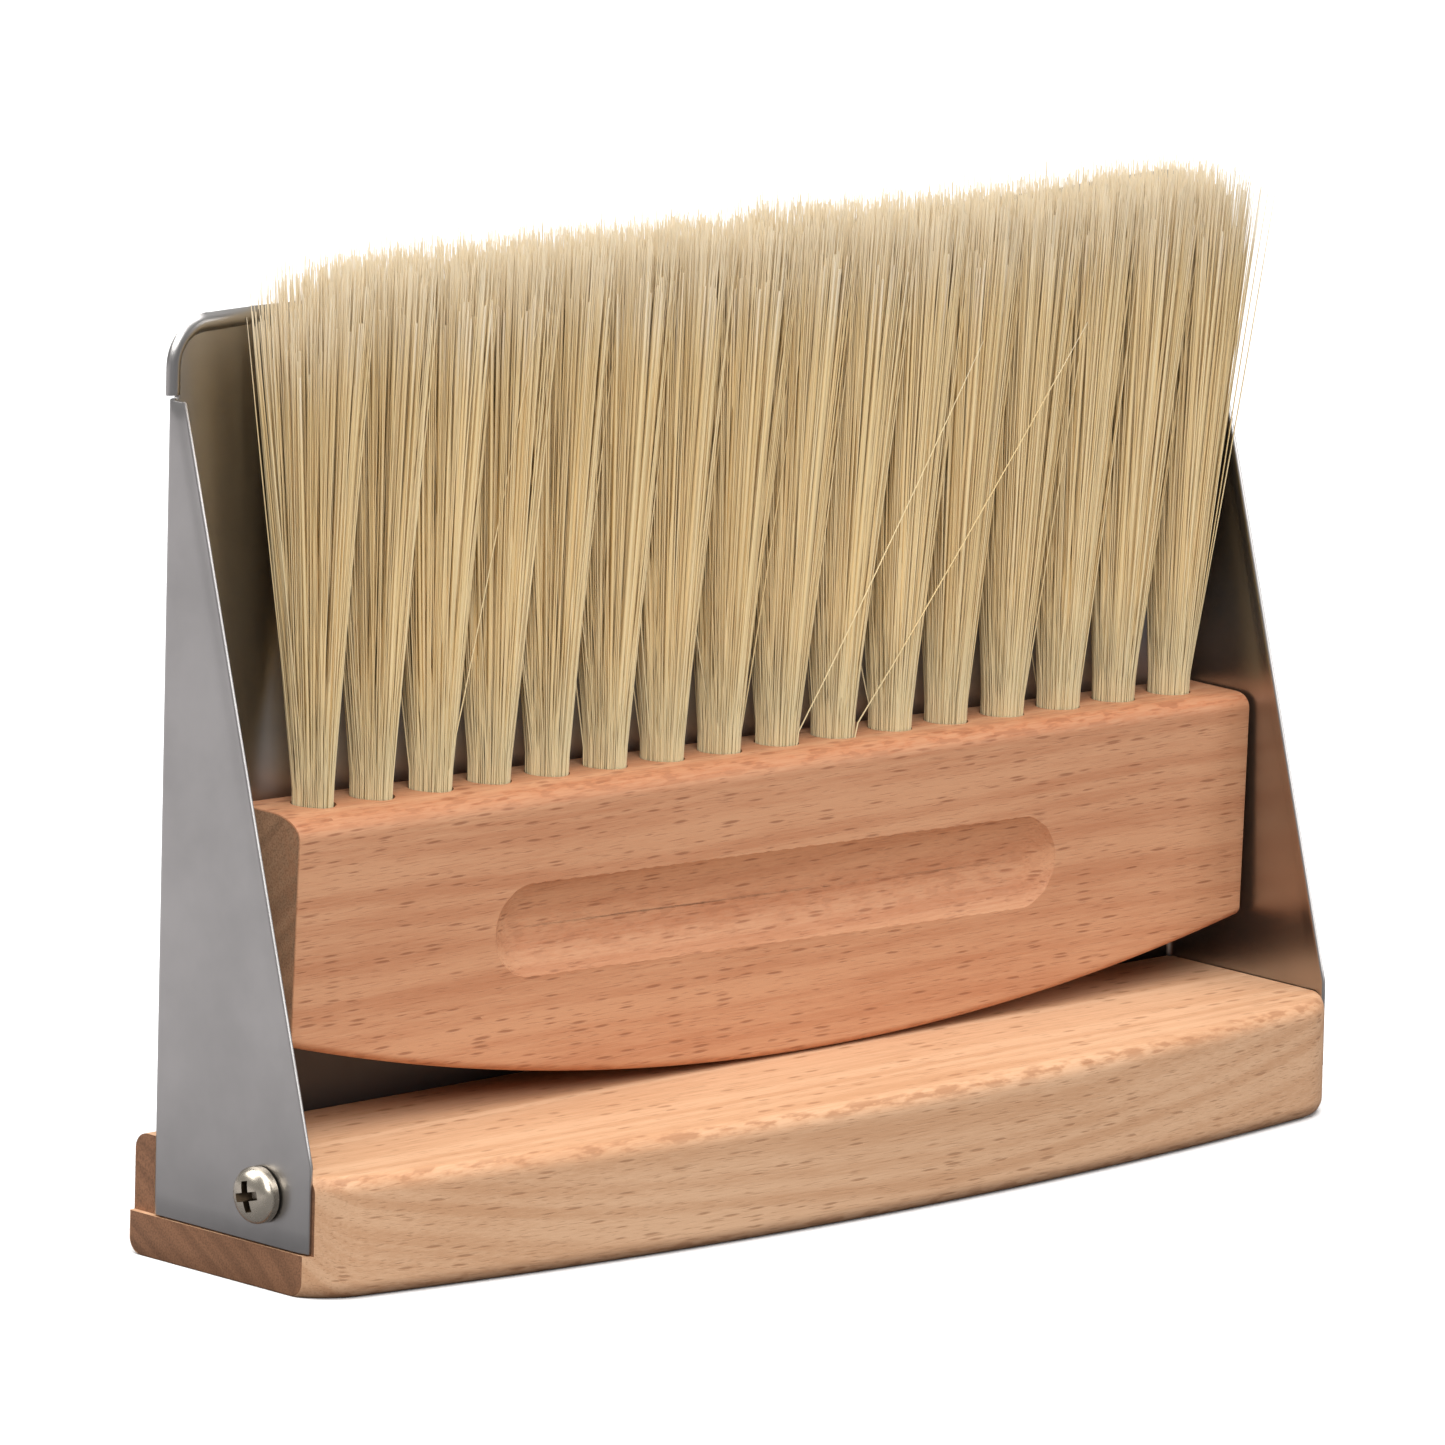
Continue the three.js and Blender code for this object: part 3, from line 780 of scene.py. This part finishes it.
def screw_profile(length, head_radius):
    points = [(0, -length)]
    for turn in range(int((length - 0.0035) / THREAD_PITCH)):
        start = -length + 0.0006 + turn * THREAD_PITCH
        taper = min(1.0, 0.35 + turn * 0.25)
        root = (SHANK / 2 - THREAD_DEPTH) * taper
        points += [(root, start), (root, start + THREAD_PITCH * 0.45)]
        points.append((SHANK / 2 * taper, start + THREAD_PITCH * 0.72))
    points += [(SHANK / 2, -0.0025), (SHANK / 2, 0.0)]
    points += [(head_radius * 0.97, 0.0), (head_radius, 0.00012)]
    rise = HEAD_HEIGHT - 0.0009
    for angle in spread(0, math.pi / 2, 12)[:-1]:
        points.append((head_radius * math.cos(angle) ** 0.8, 0.0009 + rise * math.sin(angle)))
    return points + [(0, HEAD_HEIGHT)]


def cross_wing(name, turned):
    """One bar of the cross recess: wide at the mouth, narrow at its floor."""
    ends = ((HEAD_HEIGHT - RECESS_DEPTH, *RECESS_FLOOR), (HEAD_HEIGHT + 0.0005, *RECESS_MOUTH))
    rows = []
    for height, long, wide in ends:
        corners = [(-long, -wide), (long, -wide), (long, wide), (-long, wide)]
        rows.append([Vector((height, *(reversed(c) if turned else c))) for c in corners])
    if turned:
        rows = [list(reversed(row)) for row in rows]
    return loft(name, rows)


def make_screw(side):
    lo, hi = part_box(f"side_screw_{side}")
    length = hi.x - lo.x - HEAD_HEIGHT
    screw = spin_profile(f"screw_{side}", screw_profile(length, (hi.z - lo.z) / 2), 48, nickel)
    carve(screw, cross_wing("wing_a", False), cross_wing("wing_b", True))
    # painted shade: the faces inside the cross recess get the dark material
    screw.data.materials.append(nickel_painted_shade)
    for face in screw.data.polygons:
        inward = math.hypot(face.center.y, face.center.z)
        steep = abs(face.normal.x) < 0.55 or face.center.x < HEAD_HEIGHT - 0.0015
        if face.center.x > 0.0008 and inward < RECESS_REACH and steep:
            face.material_index = 1
    seat = half_width + GAP
    place = Matrix.Translation((seat, screw_at[side].y, screw_at[side].z))
    place @= Matrix.Rotation(math.radians(RECESS_TURN), 4, "X")
    if side == "left":
        across = Matrix.Translation((0, -2 * screw_at[side].y, 0))
        place = Matrix.Rotation(math.pi, 4, "Z") @ across @ place
    screw.data.transform(place)
    smooth(screw, 35)
    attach(screw, "pan")
    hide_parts(f"side_screw_{side}")
    return screw


for side in screw_at:
    made = make_screw(side)
    print(made.name, len(made.data.polygons), "faces")

# %% [markdown]
# ## Brush block
# The block is a beech slab with a curved underside, holes for the tufts along its top, and a
# shallow finger groove in each face. It is drawn in its own frame, x along it, y = 0 on its
# front face and z = 0 on its top, and then laid where the two CAD magnets show that the CAD
# block lies, a little rolled. The groove was cut with a round-nosed tool that left small
# ripples, so its cutter has them. The upper front edge was eased by hand, most at the left.

# %% Brush place and block sizes
BLOCK_HALF = 0.0933
BLOCK_HEIGHT = 0.0442
BLOCK_BOW = 0.394
BLOCK_THICK = 0.0155
MAGNET_DROP = 0.0207  # magnets and groove lie this far below the top
GROOVE_HALF = 0.055
GROOVE_RADIUS = 0.00675
GROOVE_DEPTH = 0.0022
TUFTS = 16
TUFT_PITCH = 0.0112
TUFT_HOLE = 0.0066
HOLE_DEPTH = 0.012
TUFT_LINE = BLOCK_THICK / 2
POCKET_DEPTH = 0.0035
POCKET_RADIUS = 0.0053

block_lo, block_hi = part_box("brush_block")
magnets = [centre_of(f"brush_magnet_{side}") for side in ("left", "right")]
along = (magnets[1] - magnets[0]).normalized()
upward = along.cross(Vector((0, 1, 0)))
origin = (magnets[0] + magnets[1]) / 2 + upward * MAGNET_DROP
origin.y = block_lo.y
brush_place = Matrix.Translation(origin) @ Matrix((along, (0, 1, 0), upward)).transposed().to_4x4()
print("brush rolled", round(math.degrees(math.asin(-along.z)), 2), "degrees")


# %% Block sections
def block_section(x):
    under = -BLOCK_HEIGHT + BLOCK_BOW - math.sqrt(BLOCK_BOW**2 - x**2)
    t = ease((x + BLOCK_HALF) / (2 * BLOCK_HALF))
    eased = (0.0062 - 0.0036 * t, 0.0032 - 0.0010 * t)
    edges = [(0.0012, 0.0012), (0.0024, 0.0024), (0.0024, 0.0024), eased]
    crown = 0.0001 * noise.noise(Vector((x * 30, 0, 0)))
    return rounded_section(0, BLOCK_THICK, under, -0.0001 + crown, edges, steps=9)


def make_block():
    stations = spread(-BLOCK_HALF, BLOCK_HALF, 90)
    rows = [[Vector((x, y, z)) for y, z in block_section(x)] for x in stations]
    return loft("beech_block", rows, brush_beech)


def ripple(x, seed):
    """Small waves that the groove's tool left."""
    swell = noise.noise(Vector((x * 260, seed, 0)))
    return 0.00005 * math.sin(x * 2300 + 3 * swell) + 0.00007 * swell


def groove_cutter(name, face, into, seed):
    """A long round-ended dish. face is the block face's y, and into is +1 or -1 across it."""
    tool = (GROOVE_RADIUS**2 + GROOVE_DEPTH**2) / (2 * GROOVE_DEPTH)
    straight = GROOVE_HALF - GROOVE_RADIUS
    outline = [(straight * side, start) for side, start in ((1, -math.pi / 2), (-1, math.pi / 2))]
    rows = []
    for radius in (0.0001, 0.001, 0.002, 0.003, 0.004, 0.0048, 0.0056, 0.0062, 0.0067, 0.0072):
        row = []
        for end, start in outline:
            for angle in spread(start, start + math.pi, 20):
                row.append((end + radius * math.cos(angle), radius * math.sin(angle)))
            for x in spread(end, -end, 120)[1:-1]:
                row.append((x, radius * math.copysign(1, end)))
        depth = GROOVE_DEPTH - tool + math.sqrt(tool**2 - radius**2)
        dish = [(x, face + into * (depth + ripple(x, seed)), z - MAGNET_DROP) for x, z in row]
        rows.append([Vector(point) for point in dish])
    rows.append([Vector((p.x, face - into * 0.003, p.z)) for p in rows[-1]])
    if into < 0:
        rows.reverse()
    return loft(name, rows)


# %% Block piece
def tuft_x(index, pitch):
    return (index - (TUFTS - 1) / 2) * pitch


def block_wear_and_groove_shade(point):
    """The eased upper front edge is worn most, then the lower edge. The groove's floor and
    lower half get painted shading.
    """
    at = brush_place.inverted() @ point
    top = ease(1 + at.z / 0.0034) * ease(1 - at.y / 0.0056)
    under = -BLOCK_HEIGHT + BLOCK_BOW - math.sqrt(BLOCK_BOW**2 - min(BLOCK_HALF, abs(at.x)) ** 2)
    low = ease(1 - (at.z - under) / 0.0014) * ease(1 - at.y / 0.0014)
    # painted shading: the groove's floor and lower half take the darker, more orange colour
    dish = 0.35 * ease(at.y / GROOVE_DEPTH) * ease((-at.z - MAGNET_DROP) / GROOVE_RADIUS + 0.7)
    in_dish = abs(at.x) < GROOVE_HALF and abs(at.z + MAGNET_DROP) < GROOVE_RADIUS and at.y < 0.003
    return max(top * 0.85, low * 0.8, dish if in_dish else 0.0)


block = make_block()
round_edges(block, width=0.00025, segments=2, degrees=50)
settle(block)
carve(
    block,
    groove_cutter("front_groove", 0, 1, seed=2.0),
    groove_cutter("back_groove", BLOCK_THICK, -1, seed=7.0),
)
holes = []
for i in range(TUFTS):
    ends = [Vector((tuft_x(i, TUFT_PITCH), TUFT_LINE, z)) for z in (-HOLE_DEPTH, CUT_PAST)]
    holes.append(rod(f"hole_{i}", *ends, TUFT_HOLE / 2))
carve(block, *holes)
magnet_x = (magnets[1] - magnets[0]).length / 2
pockets = []
for x in (-magnet_x, magnet_x):
    ends = [Vector((x, y, -MAGNET_DROP)) for y in (BLOCK_THICK - POCKET_DEPTH, BLOCK_THICK + CUT_PAST)]
    pockets.append(rod(f"pocket_{len(pockets)}", *ends, POCKET_RADIUS))
carve(block, *pockets)
block.data.transform(brush_place)
smooth(block, 28)
mark_wood(block, block_wear_and_groove_shade)
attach(block, "brush")
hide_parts("brush_block")
print("block", len(block.data.polygons), "faces")

# %% [markdown]
# ## Bristles
# Each tuft is some hundreds of pale natural bristles, folded round a wire in its hole. Curves
# drawn by hand would never be even enough, so one Geometry Nodes tree grows a tuft: it scatters
# feet in the hole, gives every bristle a tip in a wider oval, lets noise gather neighbours into
# strands, and turns the lines into thin three-sided tubes. Each tuft has its own seed, and two
# of the tufts have a stray bristle that lies across the front of the row.


# %% Bristle tuft nodes
def random_value(tree, seed, offset, low, high):
    inputs = {2: low, 3: high, "Seed": maths(tree, "ADD", seed, offset)}
    return add_node(tree, "FunctionNodeRandomValue", inputs, data_type="FLOAT").outputs[1]


def store(tree, geometry, name, value, kind="FLOAT"):
    inputs = {"Geometry": geometry, "Name": name, "Value": value}
    return add_node(tree, "GeometryNodeStoreNamedAttribute", inputs, data_type=kind).outputs[0]


def stored(tree, name, kind="FLOAT"):
    return add_node(tree, "GeometryNodeInputNamedAttribute", {"Name": name}, data_type=kind).outputs[0]


def combine(tree, x, y, z):
    return add_node(tree, "ShaderNodeCombineXYZ", {0: x, 1: y, 2: z}).outputs[0]


def separate(tree, vector):
    return add_node(tree, "ShaderNodeSeparateXYZ", {0: vector}).outputs


def lerp(tree, t, a, b):
    return maths(tree, "MULTIPLY_ADD", maths(tree, "SUBTRACT", b, a), t, a)


ROW_SHOULDER = 0.0855  # tips further out than this are lower ...
SHOULDER_FALL = 0.6  # ... by this much for each unit further
ROW_END, ROW_BACK = 0.0955, 0.01565  # the flap and the plate hold the bristles in
LOOSE_SHARE = 0.008
LOOSE_FALL = 0.006
THICK_SHARE, THICK_INSIDE = 0.42, 0.62  # share, and how far out (squared) in the disc they stand
THICK_FALL, THICK_TIMES = 0.007, 3.2
WAVER = 0.00022
LINE_POINTS = 9
STRAY_FRONT, STRAY_LEAN, STRAY_HEIGHT = 0.0046, -0.0062, 0.76
TUFT_SIZES = ("Foot X", "Tip X", "Row Y", "Foot Radius", "Tip Half X", "Tip Half Y", "Foot Z")
TUFT_SIZES += ("Height", "Ragged", "Gather", "Splay", "Hair Radius", "Stray")


def make_tuft_tree():
    tree = bpy.data.node_groups.new("Bristle tuft", "GeometryNodeTree")
    tree.is_modifier = True
    face = tree.interface
    for label in ("Bristles", "Seed"):
        face.new_socket(name=label, in_out="INPUT", socket_type="NodeSocketInt")
    for label in TUFT_SIZES:
        face.new_socket(name=label, in_out="INPUT", socket_type="NodeSocketFloat")
    face.new_socket(name="Material", in_out="INPUT", socket_type="NodeSocketMaterial")
    face.new_socket(name="Tuft", in_out="OUTPUT", socket_type="NodeSocketGeometry")
    given = tree.nodes.new("NodeGroupInput").outputs
    seed = given["Seed"]

    # one point for each bristle, with its place in the round foot as disc_x, disc_y
    feet = add_node(tree, "GeometryNodePoints", {"Count": given["Bristles"]}).outputs[0]
    radius = maths(tree, "SQRT", random_value(tree, seed, 1, 0.0, 1.0))
    angle = random_value(tree, seed, 2, 0.0, 2 * math.pi)
    disc_x = maths(tree, "MULTIPLY", radius, maths(tree, "COSINE", angle))
    disc_y = maths(tree, "MULTIPLY", radius, maths(tree, "SINE", angle))
    feet = store(tree, feet, "disc", combine(tree, disc_x, disc_y, 0.0), "FLOAT_VECTOR")
    lean_x = maths(tree, "POWER", random_value(tree, seed, 3, -1.0, 1.0), 3.0)
    lean_y = random_value(tree, seed, 4, -1.0, 1.0)
    feet = store(tree, feet, "lean", combine(tree, lean_x, lean_y, 0.0), "FLOAT_VECTOR")
    feet = store(tree, feet, "chance", random_value(tree, seed, 5, 0.0, 1.0))
    feet = store(tree, feet, "phase", random_value(tree, seed, 6, 0.0, 2 * math.pi))
    feet = store(tree, feet, "cut", random_value(tree, seed, 7, -1.0, 1.0))
    index = add_node(tree, "GeometryNodeInputIndex").outputs[0]
    feet = store(tree, feet, "first", maths(tree, "LESS_THAN", index, 1.0))

    ends = {"Start": (0, 0, 0), "End": (0, 0, 1)}
    line = add_node(tree, "GeometryNodeCurvePrimitiveLine", ends).outputs[0]
    line = add_node(tree, "GeometryNodeResampleCurve", {"Curve": line, "Count": LINE_POINTS}).outputs[0]
    lines = add_node(tree, "GeometryNodeInstanceOnPoints", {"Points": feet, "Instance": line}).outputs[0]
    lines = add_node(tree, "GeometryNodeRealizeInstances", {"Geometry": lines}).outputs[0]
    part = add_node(tree, "GeometryNodeSplineParameter").outputs["Factor"]
    lines = store(tree, lines, "along", part)

    # neighbours in the foot share a pull, so they gather into strands
    disc = separate(tree, stored(tree, "disc", "FLOAT_VECTOR"))
    lean = separate(tree, stored(tree, "lean", "FLOAT_VECTOR"))
    chance, phase = stored(tree, "chance"), stored(tree, "phase")
    own = maths(tree, "MULTIPLY", seed, 3.7)
    near = {"Vector": combine(tree, disc[0], disc[1], own), "Scale": 3.2, "Detail": 1.0}
    pull = separate(tree, add_node(tree, "ShaderNodeTexNoise", near).outputs["Color"])
    pull_x = maths(tree, "MULTIPLY", maths(tree, "SUBTRACT", pull[0], 0.5), given["Gather"])
    pull_y = maths(tree, "MULTIPLY", maths(tree, "SUBTRACT", pull[1], 0.5), given["Gather"])
    uneven_cut = maths(tree, "MULTIPLY", maths(tree, "SUBTRACT", pull[2], 0.5), 0.9)

    # a few bristles have come loose and lean far out, and are shorter
    loose = maths(tree, "GREATER_THAN", chance, 1 - LOOSE_SHARE)
    more_lean = maths(tree, "MULTIPLY", given["Splay"], 3.0)
    tip_lean = maths(tree, "MULTIPLY_ADD", loose, more_lean, given["Splay"])
    cut_depth = maths(tree, "ADD", maths(tree, "ABSOLUTE", stored(tree, "cut")), uneven_cut)
    cut_depth = maths(tree, "MULTIPLY", cut_depth, given["Ragged"])
    top = maths(tree, "SUBTRACT", given["Height"], cut_depth)
    top = maths(tree, "SUBTRACT", top, maths(tree, "MULTIPLY", loose, LOOSE_FALL))

    # inside the tuft some bristles stick together as thicker, shorter strands, and fill it
    out = maths(tree, "MULTIPLY_ADD", disc[0], disc[0], maths(tree, "MULTIPLY", disc[1], disc[1]))
    thick = maths(tree, "LESS_THAN", chance, THICK_SHARE)
    thick = maths(tree, "MULTIPLY", maths(tree, "LESS_THAN", out, THICK_INSIDE), thick)
    thick = maths(tree, "MULTIPLY", thick, maths(tree, "SUBTRACT", 1.0, stored(tree, "first")))
    top = maths(tree, "SUBTRACT", top, maths(tree, "MULTIPLY", thick, THICK_FALL))

    # the outermost tips of the row are lower
    tip_x = maths(tree, "MULTIPLY_ADD", disc[0], given["Tip Half X"], given["Tip X"])
    over = maths(tree, "SUBTRACT", maths(tree, "ABSOLUTE", tip_x), ROW_SHOULDER)
    over = maths(tree, "MAXIMUM", over, 0.0)
    top = maths(tree, "MULTIPLY_ADD", over, -SHOULDER_FALL, top)
    height = lerp(tree, part, given["Foot Z"], top)

    # straight inside the hole, then fanning out towards the tip
    fan = maths(tree, "DIVIDE", maths(tree, "MAXIMUM", height, 0.0), given["Height"])
    fan = maths(tree, "POWER", fan, 0.96)
    foot_x = maths(tree, "MULTIPLY_ADD", disc[0], given["Foot Radius"], given["Foot X"])
    foot_y = maths(tree, "MULTIPLY_ADD", disc[1], given["Foot Radius"], given["Row Y"])
    tip_x = maths(tree, "MULTIPLY_ADD", lean[0], tip_lean, maths(tree, "ADD", tip_x, pull_x))
    tip_y = maths(tree, "MULTIPLY_ADD", disc[1], given["Tip Half Y"], given["Row Y"])
    tip_y = maths(tree, "MULTIPLY_ADD", lean[1], given["Splay"], maths(tree, "ADD", tip_y, pull_y))
    swing = maths(tree, "SINE", maths(tree, "MULTIPLY_ADD", fan, 4.5, phase))
    swing = maths(tree, "MULTIPLY", maths(tree, "MULTIPLY", swing, fan), WAVER)
    at_x = maths(tree, "ADD", lerp(tree, fan, foot_x, tip_x), swing)
    at_x = maths(tree, "MINIMUM", at_x, ROW_END)
    at_y = maths(tree, "MINIMUM", lerp(tree, fan, foot_y, tip_y), ROW_BACK)

    # one bristle of a tuft can lie loose across the front of the row
    has_stray = maths(tree, "GREATER_THAN", given["Stray"], 0.0)
    astray = maths(tree, "MULTIPLY", stored(tree, "first"), has_stray)
    stray_x = maths(tree, "MULTIPLY_ADD", fan, given["Stray"], given["Foot X"])
    stray_y = maths(tree, "MULTIPLY_ADD", fan, STRAY_LEAN, STRAY_FRONT)
    at_x, at_y = lerp(tree, astray, at_x, stray_x), lerp(tree, astray, at_y, stray_y)
    shortened = maths(tree, "MULTIPLY_ADD", astray, STRAY_HEIGHT - 1, 1.0)
    height = maths(tree, "MULTIPLY", height, shortened)
    moved = {"Geometry": lines, "Position": combine(tree, at_x, at_y, height)}
    lines = add_node(tree, "GeometryNodeSetPosition", moved).outputs[0]

    strand_tone = maths(tree, "MULTIPLY", pull[1], 0.6)
    lines = store(tree, lines, "tone", maths(tree, "MULTIPLY_ADD", chance, 0.4, strand_tone))
    taper = maths(tree, "MULTIPLY_ADD", maths(tree, "POWER", part, 5.0), -0.6, 1.0)
    taper = maths(tree, "MULTIPLY", taper, maths(tree, "MULTIPLY_ADD", thick, THICK_TIMES - 1, 1.0))
    taper = maths(tree, "MULTIPLY", given["Hair Radius"], taper)
    profile = {"Resolution": 3, "Radius": 1.0}
    profile = add_node(tree, "GeometryNodeCurvePrimitiveCircle", profile).outputs[0]
    tube = {"Curve": lines, "Profile Curve": profile, "Scale": taper, "Fill Caps": True}
    tube = add_node(tree, "GeometryNodeCurveToMesh", tube).outputs[0]
    solid = add_node(tree, "GeometryNodeRealizeInstances", {"Geometry": tube}).outputs[0]
    dressed = {"Geometry": solid, "Material": given["Material"]}
    dressed = add_node(tree, "GeometryNodeSetMaterial", dressed).outputs[0]
    tree.links.new(dressed, tree.nodes.new("NodeGroupOutput").inputs[0])
    return tree


tuft_tree = make_tuft_tree()
print("tuft tree nodes", len(tuft_tree.nodes))


# %% Bristle material
def make_bristle():
    material, shader = new_material("bristle", specular_ior_level=0.18)
    tree = material.node_tree
    tone = add_node(tree, "ShaderNodeAttribute", attribute_name="tone").outputs["Fac"]
    part = add_node(tree, "ShaderNodeAttribute", attribute_name="along").outputs["Fac"]
    pale, deep = tint(252, 231, 186), tint(240, 213, 160)
    body = blend_colours(tree, remap(tree, tone, 0.25, 0.8), deep, pale)
    foot = blend_colours(tree, remap(tree, part, 0.10, 0.36), tint(232, 214, 172), body)
    tip = blend_colours(tree, remap(tree, part, 0.80, 1.0, 0.0, 0.8), foot, tint(246, 232, 206))
    tree.links.new(tip, shader.inputs["Base Color"])
    tree.links.new(remap(tree, tone, 0.2, 0.9, 0.42, 0.6), shader.inputs["Roughness"])
    return material


bristle = make_bristle()

# %% Tufts
BRISTLES = 900
STRAYS = {8: 0.030, 9: 0.039}  # tuft index, and how far its stray bristle would lean at full height
TIP_PITCH = 0.01157
TIP_SHIFT = -0.0013  # the flap on the right holds the tips back
sockets = {s.name: s.identifier for s in tuft_tree.interface.items_tree if s.in_out == "INPUT"}
draw = random.Random(11)


def make_tuft(index):
    sizes = {
        "Bristles": BRISTLES,
        "Seed": 100 + index * 17,
        "Foot X": tuft_x(index, TUFT_PITCH),
        "Tip X": tuft_x(index, TIP_PITCH) + TIP_SHIFT + draw.uniform(-0.0006, 0.0006),
        "Row Y": TUFT_LINE,
        "Foot Radius": 0.0029,
        "Tip Half X": 0.0082,
        "Tip Half Y": 0.0052,
        "Foot Z": -0.0078,
        "Height": 0.0784 + draw.uniform(-0.0005, 0.0005),
        "Ragged": 0.0042,
        "Gather": 0.0030,
        "Splay": 0.0042,
        "Hair Radius": 0.000125,
        "Stray": STRAYS.get(index, 0.0),
        "Material": bristle,
    }
    name = f"tuft_hair_{index + 1:02d}"
    tuft = add_piece(name, [(0, 0, 0)], [])
    grow = tuft.modifiers.new("grow", "NODES")
    grow.node_group = tuft_tree
    for label, value in sizes.items():
        grow[sockets[label]] = value
    settle(tuft)
    tuft.data.transform(brush_place)
    tuft.data.shade_smooth()
    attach(tuft, "brush")
    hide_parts(f"tuft_{index + 1:02d}")
    return len(tuft.data.polygons)


print("bristle faces", sum(make_tuft(i) for i in range(TUFTS)))

# %% [markdown]
# ## Magnets and staples
# The magnets in the block's back and the wire staples in the holes are small, plain and mostly
# hidden, so their CAD shapes stay, and only their finish is made here.

# %% Finish on the CAD pieces that stay
kept = {f"brush_magnet_{side}": magnet_plate for side in ("left", "right")}
kept |= {f"tuft_anchor_{i + 1:02d}": anchor_wire for i in range(TUFTS)}
for name, material in kept.items():
    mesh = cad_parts[name].data
    mesh.materials.clear()
    mesh.materials.append(material)
print("kept CAD pieces", len(kept))
